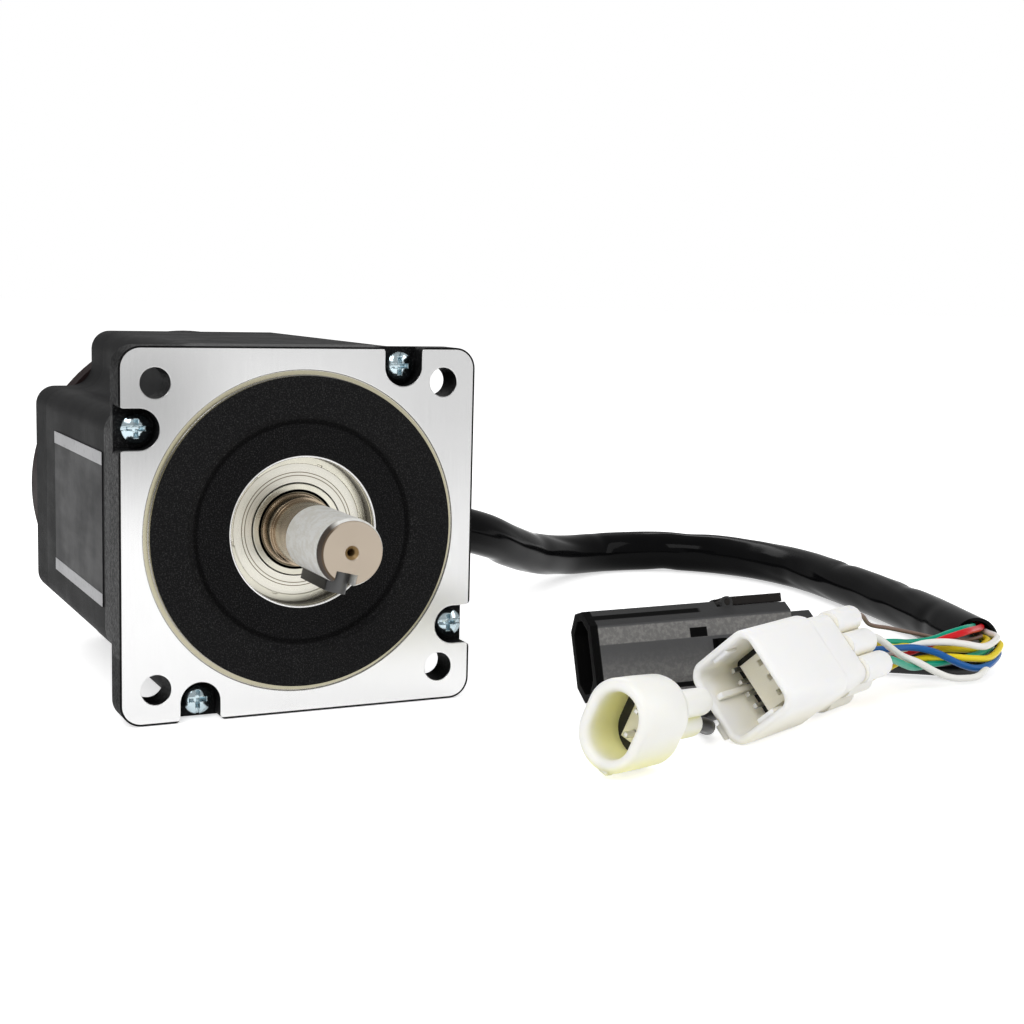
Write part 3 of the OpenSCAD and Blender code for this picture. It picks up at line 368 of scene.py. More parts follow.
def lathe_rings():
    def wire(w, given):
        x, y, z = w.split(w.object_point())
        reach = w.math("SQRT", w.plus(w.times(x, x), w.times(z, z)))
        across = w.noise(w.join(w.times(reach, given["Pitch"]), 0, 0), 1, 2, 0.7)
        along = w.noise(w.join(w.times(y, given["Pitch"]), 0, 0), 1, 2, 0.7)
        return {"Across": across, "Along": along, "Reach": reach}

    return shared_effect("Lathe rings", (("Pitch", 9000),), ("Across", "Along", "Reach"), wire)


def streaks():
    def wire(w, given):
        point = w.vector("MULTIPLY", w.object_point(), given["Stretch"])
        return {"Height": w.noise(point, 1, 3, 0.65)}

    return shared_effect("Streaks", (("Stretch", (60, 4000, 60)),), ("Height",), wire)


class Finish:
    """One material: its wiring, its Principled shader and the shared effects placed in it"""

    def __init__(self, name, base, roughness=0.5, metallic=0):
        self.material = bpy.data.materials.new(name)
        self.material.use_nodes = True
        self.w = Wiring(self.material.node_tree)
        self.shader = self.material.node_tree.nodes["Principled BSDF"]
        self.set("Base Color", (*base, 1))
        self.set("Roughness", roughness)
        self.set("Metallic", metallic)

    def set(self, name, value):
        self.w.feed(self.shader.inputs[name], value)

    def now(self, name):
        """What an input of the shader holds now: the socket that feeds it, or its own value"""
        socket = self.shader.inputs[name]
        return socket.links[0].from_socket if socket.links else tuple(socket.default_value)

    def place(self, group, **values):
        node = self.w.add("ShaderNodeGroup", node_tree=group)
        for key, value in values.items():
            node.inputs[key].default_value = value
        return node.outputs

    def tint(self, mask, paint):
        """Lay a colour over the base colour where the mask is one"""
        self.set("Base Color", self.w.blend(mask, self.now("Base Color"), paint))

    def vary_roughness(self, mask, low, high):
        self.set("Roughness", self.w.step(mask, 0.3, 0.7, low, high))


def moulded(name, base, roughness, grain=2500, depth=0.25, tone=0.12, edge=0.0004, shine=None):
    """Painted or moulded surface: grain, a little change of tone, smudges and soft edges, lighter where worn and with
    a painted highlight
    """
    f = Finish(name, base, roughness)
    edges = f.place(worn_edges(), Radius=edge)
    grit = f.place(fine_grain(), Scale=grain)
    dirt = f.place(smudges(), Scale=45)
    light = [min(1, c * (1 + tone) + 0.03 * tone * tone) for c in base]
    dark = [c * (1 - tone) for c in base]
    # Lighter edges: wear, and a painted highlight along them
    wear_and_sheen = [min(1, 1.3 * c + 0.02) for c in base]
    f.set("Base Color", f.w.blend(dirt["Mask"], dark, light))
    f.tint(f.w.times(edges["Mask"], 0.5), wear_and_sheen)
    f.vary_roughness(dirt["Mask"], roughness - 0.07, roughness + 0.07)
    f.set("Normal", f.w.bump(grit["Height"], depth, 0.0002, edges["Normal"]))
    if shine is not None:
        f.set("Specular IOR Level", shine)
    return f


def machined(name, base, roughness, stretch=(60, 4000, 60), depth=0.12, tone=0.06):
    """Bare metal with fine tool marks"""
    f = Finish(name, base, roughness, 1)
    edges = f.place(worn_edges(), Radius=0.0003)
    marks = f.place(streaks(), Stretch=stretch)
    dirt = f.place(smudges(), Scale=70)
    f.set("Base Color", f.w.blend(dirt["Mask"], [c * (1 - tone) for c in base], base))
    f.vary_roughness(dirt["Mask"], roughness - 0.06, roughness + 0.08)
    f.set("Normal", f.w.bump(marks["Height"], depth, 0.0001, edges["Normal"]))
    return f


def nylon(name, base, warm=False):
    """Moulded nylon that lets a little light in, with painted light in its hollows: creamier, and yellower on the
    uncoloured kind
    """
    f = moulded(name, base, 0.40, 420, 0.05, tone=0.03, edge=0.0005)
    f.set("Subsurface Weight", 0.3)
    f.set("Subsurface Radius", (1, 0.9, 0.6))
    f.set("Subsurface Scale", 0.0025)
    # Painted light: the hollows are tinted creamier and yellower, standing in for light through the nylon
    hollow = f.w.add("ShaderNodeAmbientOcclusion", {"Distance": 0.012}, samples=8).outputs["AO"]
    hollow_glow = (0.98, 0.95, 0.50) if warm else (0.96, 0.92, 0.79)
    f.set("Base Color", f.w.blend(f.w.step(hollow, 0.2, 0.9), hollow_glow, f.now("Base Color")))
    return f


def dress(finish, *nodes):
    for name in nodes:
        mesh = frame["nodes"][name].data
        mesh.materials.clear()
        mesh.materials.append(finish.material)


def smooth_route(route, count):
    """Points along a smooth curve through the route's points, at even distances, in metres"""
    points = [Vector(p) * MM for p in route]
    padded = [2 * points[0] - points[1], *points, 2 * points[-1] - points[-2]]
    dense, parts = [], 24
    for i in range(1, len(padded) - 2):
        a, b, c, d = padded[i - 1:i + 3]
        for t in (k / parts for k in range(parts)):
            dense.append(0.5 * ((2 * b) + (c - a) * t + (2 * a - 5 * b + 4 * c - d) * t * t
                                + (3 * b - a - 3 * c + d) * t ** 3))
    dense.append(points[-1])
    lengths = [0]
    for a, b in zip(dense, dense[1:]):
        lengths.append(lengths[-1] + (b - a).length)
    out, j = [], 0
    for k in range(count):
        want = lengths[-1] * k / (count - 1)
        while j < len(lengths) - 2 and lengths[j + 1] < want:
            j += 1
        share = (want - lengths[j]) / max(lengths[j + 1] - lengths[j], 1e-9)
        out.append(dense[j].lerp(dense[j + 1], min(1, share)))
    return out


def ring_frame(points, i):
    """Place of the ring at point i, and its axes across and up"""
    ahead = (points[min(i + 1, len(points) - 1)] - points[max(i - 1, 0)]).normalized()
    across = ahead.cross(Vector((0, 0, 1))).normalized()
    return points[i], across, across.cross(ahead)


def skin_tube(bm, points, sides, shape, closed=True):
    """Rings along the points, each bridged to the next. shape(i, angle) gives a reach across and a reach up."""
    rings = []
    for i in range(len(points)):
        place, across, up = ring_frame(points, i)
        made = bmesh.ops.create_circle(bm, cap_ends=False, segments=sides, radius=1)["verts"]
        for vert in made:
            wide, high = shape(i, atan2(vert.co.y, vert.co.x))
            vert.co = place + wide * across + high * up
        rings.append(list({e for v in made for e in v.link_edges}))
    for first, second in zip(rings, rings[1:]):
        bmesh.ops.bridge_loops(bm, edges=first + second)
    if closed:
        bmesh.ops.edgeloop_fill(bm, edges=rings[0])
        bmesh.ops.edgeloop_fill(bm, edges=rings[-1])
    return rings


def finish_mesh(bm, name, finish, smooth_angle=40):
    bmesh.ops.recalc_face_normals(bm, faces=bm.faces)
    mesh = bpy.data.meshes.new(name)
    for face in bm.faces:
        face.smooth = True
    limit = radians(smooth_angle)
    for edge in bm.edges:
        edge.smooth = len(edge.link_faces) == 2 and edge.calc_face_angle(0) < limit
    bm.to_mesh(mesh)
    bm.free()
    mesh.materials.append(finish.material)
    piece = bpy.data.objects.new(name, mesh)
    bpy.context.scene.collection.objects.link(piece)
    return piece


def loft(bm, rings):
    """Rings of points, each bridged to the next, with the first and the last filled"""
    edges = []
    for points in rings:
        made = bmesh.ops.create_circle(bm, cap_ends=False, segments=len(points), radius=1)["verts"]
        made.sort(key=lambda v: atan2(v.co.y, v.co.x) % tau)
        for vert, point in zip(made, points):
            vert.co = point
        edges.append(list({e for v in made for e in v.link_edges}))
    for first, second in zip(edges, edges[1:]):
        bmesh.ops.bridge_loops(bm, edges=first + second)
    for ring in (edges[0], edges[-1]):
        bmesh.ops.edgeloop_fill(bm, edges=ring)


def cut_ring(x, width, height, cut, inset, turn):
    """Eight-cornered section at station x, drawn in by inset, its corners rounded; sizes in millimetres"""
    r = max(SIGNAL_ROUND - inset, 0.5)
    w, h, c = width / 2 - inset - r, height / 2 - inset - r, cut - 0.586 * (inset + r)
    corners = ((w, h - c, 0), (w - c, h, 45), (c - w, h, 90), (-w, h - c, 135), (-w, c - h, 180), (c - w, -h, 225),
               (w - c, -h, 270), (w, c - h, 315))
    points = []
    for y, z, start in corners:
        for k in range(5):
            a = radians(start + 45 * k / 4)
            points.append(turn @ Vector((x, y + r * cos(a), z + r * sin(a))) * MM)
    return points


def oval_ring(x, width, height, inset, turn):
    """Section at station x with round ends and straight sides, drawn in by inset; sizes in millimetres"""
    r, rise = width / 2 - inset, (height - width) / 2
    points, count = [], 48
    for k in range(count):
        a = tau * (k + 0.5) / count
        lift = rise if sin(a) > 0 else -rise
        points.append(turn @ Vector((x, r * cos(a), r * sin(a) + lift)) * MM)
    return points


def round_ring(x, y, z, radius, turn, count=20):
    return [turn @ Vector((x, y + radius * cos(tau * k / count),
                           z + radius * sin(tau * k / count))) * MM for k in range(count)]


def soft_box(bm, low, high, edge, turn):
    """Box between two corners, in millimetres in the plug's own frame, with rounded edges"""
    low, high = Vector(low), Vector(high)
    size = high - low
    place = Matrix.Scale(MM, 4) @ turn @ Matrix.Translation((low + high) / 2) @ Matrix.Diagonal((*size, 1))
    made = bmesh.ops.create_cube(bm, size=1, matrix=place)["verts"]
    bmesh.ops.bevel(bm, geom=list({e for v in made for e in v.link_edges}), offset=edge * MM, segments=3,
                    profile=0.5, affect="EDGES", material=-1)


def plug_turn(spot, heading, roll, pitch=0):
    """Places a plug: its mouth's centre at the spot, in millimetres, and its length along the heading"""
    return (Matrix.Translation(spot) @ Matrix.Rotation(radians(heading), 4, "Z")
            @ Matrix.Rotation(radians(-pitch), 4, "Y") @ Matrix.Rotation(radians(roll), 4, "X"))


def quarter(start, end):
    """Five shares of a quarter round, as (inset, station) pairs between two corners of its square"""
    return [(start[0] + (end[0] - start[0]) * sin(a), start[1] + (end[1] - start[1]) * (1 - cos(a)))
            for a in (radians(22.5 * k) for k in range(5))]


def lead_tube(name, route, radius, finish, sides=14):
    """A closed round tube along the route, and its centre points"""
    points = smooth_route(route, 60)
    bm = bmesh.new()
    skin_tube(bm, points, sides, lambda i, angle: (radius * cos(angle), radius * sin(angle)))
    return finish_mesh(bm, name, finish), points


def hand_over(piece, node):
    """The piece stands in for a node of the CAD and stays with the motor"""
    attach(piece, "motor")
    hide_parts(node)


class MOTOR_OT_stage(bpy.types.Operator):
    """Set up the camera, the floor and the lamps"""

    bl_idname = "motor.stage"
    bl_label = "Stage"

    def execute(self, context):
        s = context.scene.motor_stage
        ahead = Vector((sin(s.yaw) * cos(s.pitch), cos(s.yaw) * cos(s.pitch), -sin(s.pitch)))
        level = ahead.cross(Vector((0, 0, 1))).normalized()
        top = level.cross(ahead)
        right = cos(s.roll) * level + sin(s.roll) * top
        up = cos(s.roll) * top - sin(s.roll) * level
        lens = bpy.data.cameras.new("photo camera")
        lens.lens, lens.sensor_width, lens.sensor_fit = s.lens, 36, "HORIZONTAL"
        lens.clip_start = 0.01
        camera = bpy.data.objects.new("photo camera", lens)
        turn = Matrix((right, up, -ahead)).transposed().to_4x4()
        camera.matrix_world = Matrix.Translation(Vector(s.place)) @ turn
        context.scene.collection.objects.link(camera)
        context.scene.camera = camera
        context.scene.view_settings.view_transform = "Standard"

        bm = bmesh.new()
        bmesh.ops.create_grid(bm, x_segments=1, y_segments=1, size=6,
                              matrix=Matrix.Translation((0, 0, FLOOR_Z - 0.0002)))
        floor = finish_mesh(bm, "floor", self.floor_finish(s.floor_glow))

        world = bpy.data.worlds.new("studio")
        context.scene.world = world
        world.use_nodes = True
        w = Wiring(world.node_tree)
        world.node_tree.nodes.clear()
        seen = w.add("ShaderNodeLightPath").outputs["Is Camera Ray"]
        strength = w.step(seen, 0, 1, s.sky, 1)
        shader = w.add("ShaderNodeBackground", {"Color": (1, 1, 1, 1), "Strength": strength})
        w.add("ShaderNodeOutputWorld", {"Surface": shader.outputs[0]})

        for name, place, aim, size in LAMPS:
            lamp = bpy.data.lights.new(name, "AREA")
            lamp.shape, lamp.size, lamp.size_y, lamp.energy = "RECTANGLE", *size, getattr(s, name)
            carrier = bpy.data.objects.new(name, lamp)
            carrier.location = place
            carrier.rotation_euler = (Vector(aim) - Vector(place)).to_track_quat("-Z", "Y").to_euler()
            context.scene.collection.objects.link(carrier)
        return {"FINISHED"}

    @staticmethod
    def floor_finish(glow):
        f = Finish("white floor", (0.9, 0.9, 0.9), 0.9)
        f.set("Specular IOR Level", 0)
        path = f.w.add("ShaderNodeLightPath").outputs
        seen = f.w.most(path["Is Camera Ray"], path["Is Glossy Ray"])
        f.set("Emission Color", (1, 1, 1, 1))
        f.set("Emission Strength", f.w.times(seen, glow))
        return f


class MOTOR_OT_cable(bpy.types.Operator):
    """Make the soft black sleeve, turned in at its open end"""

    bl_idname = "motor.cable"
    bl_label = "Sleeve"

    def execute(self, context):
        c = context.scene.motor_cable
        points = smooth_route(SLEEVE_ROUTE, c.rings)
        bm = bmesh.new()
        rings = skin_tube(bm, points, c.sides, self.creased(len(points) - 1), closed=False)
        bmesh.ops.edgeloop_fill(bm, edges=rings[0])
        self.open_end(bm, rings[-1], points)
        f = moulded("glossy black PVC", c.jacket, 0.15, 260, 0.10, tone=0.3, edge=0.0002, shine=0.03)
        f.set("Coat Weight", 0.025)
        f.set("Coat Roughness", 0.08)
        piece = finish_mesh(bm, "sleeve", f, smooth_angle=60)
        hand_over(piece, "cable_sleeve")
        return {"FINISHED"}

    @staticmethod
    def creased(last):
        """Reach across and up at ring i: not quite round, with soft dents and long creases"""
        draws = random.Random(7)
        dents = [(draws.uniform(0.1, 0.95), draws.uniform(0, tau), draws.uniform(0.2, 0.5) * MM,
                  draws.uniform(0.008, 0.02)) for _ in range(16)]
        creases = [(draws.uniform(0.05, 0.98), draws.uniform(0, tau), draws.uniform(0.10, 0.28) * MM,
                    draws.uniform(0.015, 0.05), draws.uniform(0.12, 0.25)) for _ in range(60)]

        def shape(i, angle):
            share = i / last
            soft = min(1, share * 8)
            wide = (SLEEVE_HALF[0] + 0.15 * sin(11 * share) * soft) * MM
            high = (SLEEVE_HALF[1] - 0.15 * sin(9 * share + 1) * soft) * MM
            dent = sum(depth * exp(-((share - at) / spread) ** 2) * max(0, cos(angle - turn)) ** 3
                       for at, turn, depth, spread in dents)
            for at, turn, depth, spread, width in creases:
                off = (angle - turn + pi) % tau - pi + 6 * (share - at)
                dent += depth * exp(-((share - at) / spread) ** 2 - (off / width) ** 2)
            return (wide - dent) * cos(angle), (high - dent) * sin(angle)

        return shape

    @staticmethod
    def open_end(bm, end, points):
        """Turn the last ring inwards, then back inside the sleeve, and close it there"""
        bore, rings_deep = 0.86, 7
        inner = bmesh.ops.extrude_edge_only(bm, edges=end)["geom"]
        for vert in (g for g in inner if isinstance(g, bmesh.types.BMVert)):
            vert.co = points[-1] + (vert.co - points[-1]) * bore
        edges = [g for g in inner if isinstance(g, bmesh.types.BMEdge)]
        back = bmesh.ops.extrude_edge_only(bm, edges=edges)["geom"]
        for vert in (g for g in back if isinstance(g, bmesh.types.BMVert)):
            vert.co += points[-1 - rings_deep] - points[-1]
        bmesh.ops.edgeloop_fill(bm, edges=[g for g in back if isinstance(g, bmesh.types.BMEdge)])


class MOTOR_OT_housings(bpy.types.Operator):
    """Make the rounded housings of the signal plug and the sensor plug"""

    bl_idname = "motor.housings"
    bl_label = "Housings"

    def execute(self, context):
        p = context.scene.motor_plugs
        self.signal_shell(nylon("white nylon", p.white))
        self.sensor_shell(nylon("natural nylon", p.natural, warm=True))
        return {"FINISHED"}

    def signal_shell(self, finish):
        turn = plug_turn(*SIGNAL_PLACE)
        bm = bmesh.new()
        inner = [(6, 18), (2.7, 18), (2.3, 17.4), (2.05, 8), *reversed(quarter((1, 0), (2, 1.2)))]
        outer = [*quarter((1, 0), (0, 1.2))[1:], (0, 24.6), (0.15, 25.6), (0.55, 26.2), (1.2, 26.6),
                 (1.3, 28), (1.3, 36.6), (1.6, 37.4), (2.3, 37.9), (6, 38)]
        loft(bm, [cut_ring(x, *SIGNAL_SECTION, inset, turn) for inset, x in inner + outer])
        for column in (-1, 0, 1):
            for row in (-1, 0, 1):
                y, z = SIGNAL_PITCH * column, SIGNAL_PITCH * row
                loft(bm, [round_ring(x, y, z, r, turn) for x, r in SIGNAL_SOCKET])
        for low, high, edge in SIGNAL_BLOCKS:
            soft_box(bm, low, high, edge, turn)
        hand_over(finish_mesh(bm, "signal_shell", finish, smooth_angle=50), "signal_housing")

    def sensor_shell(self, finish):
        turn = plug_turn(*SENSOR_PLACE)
        bm = bmesh.new()
        inner = [(5, 14), (2.6, 14), (2.25, 13.4), (2.6, 6), (2.9, 3.2),
                 *reversed(quarter((1.45, 0), (2.9, 1.6)))]
        outer = [*quarter((1.45, 0), (0, 1.6))[1:], (0.05, 8), (0.25, 14.8), (0.6, 16), (1.3, 16.8),
                 (2.4, 17), (5, 17)]
        loft(bm, [oval_ring(x, *SENSOR_SECTION, inset, turn) for inset, x in inner + outer])
        for side in (-1, 1):
            loft(bm, [round_ring(x, 0, SENSOR_SPLIT * side, r, turn, 28) for x, r in SENSOR_SOCKET])
        soft_box(bm, *SENSOR_RIB, turn)
        hand_over(finish_mesh(bm, "sensor_shell", finish, smooth_angle=50), "sensor_housing")


class MOTOR_OT_leads(bpy.types.Operator):
    """Make the two black leads and the single signal wires"""

    bl_idname = "motor.leads"
    bl_label = "Leads and wires"

    def execute(self, context):
        c = context.scene.motor_cable
        jacket = moulded("lead jacket", c.jacket, 0.38, 900, 0.1, tone=0.3, edge=0.0002)
        for name, route, radius, node, plug in (
                ("sensor_lead_jacket", SENSOR_ROUTE, 1.65, "sensor_lead",
                 ("sensor_shell", "sensor_seal", "sensor_insert", "sensor_pins")),
                ("power_lead_jacket", POWER_ROUTE, 2.95, "power_lead",
                 ("power_housing", "power_latch", "power_blades", "power_rear_seal"))):
            piece, points = lead_tube(name, route, radius * MM, jacket)
            hand_over(piece, node)

        turn = plug_turn(*SIGNAL_PLACE)
        plug = [bpy.data.objects[n] for n in ("signal_shell", "signal_seal", "signal_insert", "signal_pins")]
        coats = {tint: moulded(tint + " wire", rgb, 0.34, 1500, 0.05, tone=0.08, edge=0.0002, shine=0.2)
                 for tint, rgb in WIRE_COLOURS.items()}
        for k, (tint, cavity, radius, route) in enumerate(WIRES):
            y, z = (SIGNAL_PITCH * (place - 1) for place in cavity)
            ends = [turn @ Vector((x, y, z)) for x in (WIRE_STRAIGHT, WIRE_END)]
            piece, points = lead_tube("signal_wire_%d" % (k + 1), (*route, *ends), radius * MM, coats[tint], 12)
            hand_over(piece, "signal_wires")
        return {"FINISHED"}


class MOTOR_OT_flange(bpy.types.Operator):
    """Finish the front cap: ground face, black spigot, bright groove and bearing seat"""

    bl_idname = "motor.flange"
    bl_label = "Flange"

    def execute(self, context):
        m = context.scene.motor_metal
        f = Finish("flange", m.paint, 0.5)
        w = f.w
        point = w.object_point()
        x, y, z = w.split(point)
        rings = f.place(lathe_rings(), Pitch=7000)
        reach = rings["Reach"]
        groove = w.times(w.band(reach, *GROOVE, 0.02), w.band(y, *GROOVE_Y, 0.02))
        seat = w.times(w.step_mm(reach, SEAT_R - 0.05, SEAT_R + 0.05, 1, 0), w.band(y, *SEAT_Y, 0.02))
        lip = w.band(reach, SEAT_R - 0.15, SEAT_R + 0.3, 0.05)
        bright = w.most(w.most(self.ground_face(w, x, y, z), groove), w.most(seat, lip))
        step_ring = w.band(reach, *STEP_RING, 0.35)
        bare = self.bare_metal(f, m.face, point, y, reach, groove)
        f.set("Base Color", w.blend(bright, self.black_paint(f, m, y, step_ring), bare))
        f.set("Metallic", bright)

        ring_shine = w.minus(1, w.times(step_ring, 0.45))
        ring_shine = w.times(ring_shine, w.step_mm(reach, *STEP_RING, 0.055, 0.085))
        out_to_corner = w.least(w.absolute(x), w.absolute(z))
        f.set("Specular IOR Level", w.times(ring_shine, w.step_mm(out_to_corner, 27, 28, 1, 0.3)))

        marks = f.place(streaks(), Stretch=(2600, 60, 90))["Height"]
        grit = f.place(fine_grain(), Scale=1500)["Height"]
        painted = w.minus(1, bright)
        bare_rough = w.step(marks, 0.3, 0.7, 0.23, 0.27)
        paint_rough = w.step(grit, 0.35, 0.65, 0.42, 0.62)
        f.set("Roughness", w.plus(w.times(bare_rough, bright), w.times(paint_rough, painted)))
        bare_high = w.times(w.plus(marks, rings["Across"]), w.times(bright, 0.003))
        edges = f.place(worn_edges(), Radius=m.edge_r)
        f.set("Normal", w.bump(w.plus(w.times(grit, painted), bare_high), 0.55, 0.00035, edges["Normal"]))
        dress(f, "front_cap")
        return {"FINISHED"}

    @staticmethod
    def ground_face(w, x, y, z):
        """The front face within its black rim: one there, nothing elsewhere"""
        core = (FACE_HALF - FACE_CORNER) * MM
        qx, qz = w.minus(w.absolute(x), core), w.minus(w.absolute(z), core)
        outside = w.vector("LENGTH", w.join(w.most(qx, 0), w.most(qz, 0), 0))
        inside = w.least(w.most(qx, qz), 0)
        edge = w.minus(w.plus(outside, inside), FACE_CORNER * MM)
        within = w.step_mm(edge, -FACE_RIM - 0.05, -FACE_RIM + 0.05, 1, 0)
        return w.times(within, w.band(y, -0.05, 0.03, 0.02))

    @staticmethod
    def bare_metal(f, face, point, y, reach, groove):
        """Aluminium with soft painted shade for its uneven reflection, a brassy groove between two dark lines, and
        the seat's wall painted dark as shade
        """
        w = f.w
        dirt = f.place(smudges(), Scale=14)
        tone = w.blend(dirt["Mask"], [c * 0.86 for c in face], face)
        # Painted shade: darker patches on the ground face where its reflection is dimmer
        for spot, size, depth in PAINTED_FACE_SHADE:
            away = w.vector("LENGTH", w.vector("SUBTRACT", point, [v * MM for v in spot]))
            tone = w.blend(w.step_mm(away, 2, size, depth, 0), tone, (0, 0, 0))
        brass = w.times(groove, w.step_mm(y, -0.2, -0.05, 1, 0))
        brass = w.most(brass, w.band(reach, *BRASS, 0.08))
        tone = w.blend(w.times(brass, 0.9), tone, (0.38, 0.35, 0.235))
        for line in BRASS_LINES:
            dark = w.times(w.band(reach, line - 0.08, line + 0.08, 0.04), 0.6)
            tone = w.blend(dark, tone, (0.10, 0.08, 0.05))
        # Painted shade: the wall deep in the bearing seat is painted nearly black, and the spring's band in it stays
        # light
        wall = w.times(w.step_mm(reach, SEAT_R + 0.1, SEAT_R + 0.2, 1, 0), w.step_mm(y, 0.2, 0.3))
        spring = w.band(y, *SPRING_Y, 0.1)
        return w.blend(wall, tone, w.blend(spring, (0.045, 0.035, 0.025), (0.6, 0.56, 0.45)))

    @staticmethod
    def black_paint(f, m, y, step_ring):
        """Black paint with glittering grain, and painted shade that darkens the spigot's step ring"""
        w = f.w
        glitter = f.place(fine_grain(), Scale=3200)["Mask"]
        paint = w.blend(w.times(glitter, 0.8), m.paint, (0.035, 0.035, 0.035))
        # Painted shade: the spigot's step ring, whose recess wall lies in shadow, is darkened towards black
        paint = w.blend(w.times(step_ring, 0.6), paint, (0, 0, 0))
        return w.blend(w.step_mm(y, *BODY_FROM), paint, m.body)


class MOTOR_OT_body(bpy.types.Operator):
    """Finish the painted stack, the rear cap, the round cover, the plate and the grommet"""

    bl_idname = "motor.body"
    bl_label = "Body"

    def execute(self, context):
        m = context.scene.motor_metal
        dress(moulded("cast black paint", m.body, 0.5, 1500, 0.5, tone=0.3, edge=m.edge_r, shine=0.007), "rear_cap")
        stack = moulded("black stack", m.body, 0.46, 1800, tone=0.3, edge=m.edge_r, shine=0.008)
        sheets = stack.place(streaks(), Stretch=(20, 2600, 20))["Height"]
        stack.set("Normal", stack.w.bump(sheets, 0.35, 0.0001, stack.now("Normal")))
        dress(stack, "stator_stack")
        dress(moulded("cover paint", m.cover, 0.42, 1200, 0.3, tone=0.08, edge=m.edge_r, shine=0.007), "rear_cover")
        dress(moulded("plate film", (0.011, 0.011, 0.012), 0.45, 900, 0.08, tone=0.15, edge=0.0001, shine=0.045),
              "name_plate")
        bars = moulded("plate bars", (0.42, 0.42, 0.43), 0.5, 900, 0.08, tone=0.15, edge=0.00005)
        speck = bars.w.step(bars.place(streaks(), Stretch=(60, 2200, 500))["Height"], 0.55, 0.75)
        bars.set("Base Color", bars.w.blend(speck, (0.33, 0.33, 0.34), (0.12, 0.12, 0.12)))
        dress(bars, "plate_bars")
        dress(moulded("black rubber", (0.012, 0.012, 0.012), 0.6, 1400, 0.2, tone=0.3, edge=0.0003),
              "cable_grommet", "signal_seal", "sensor_seal", "power_rear_seal")
        return {"FINISHED"}


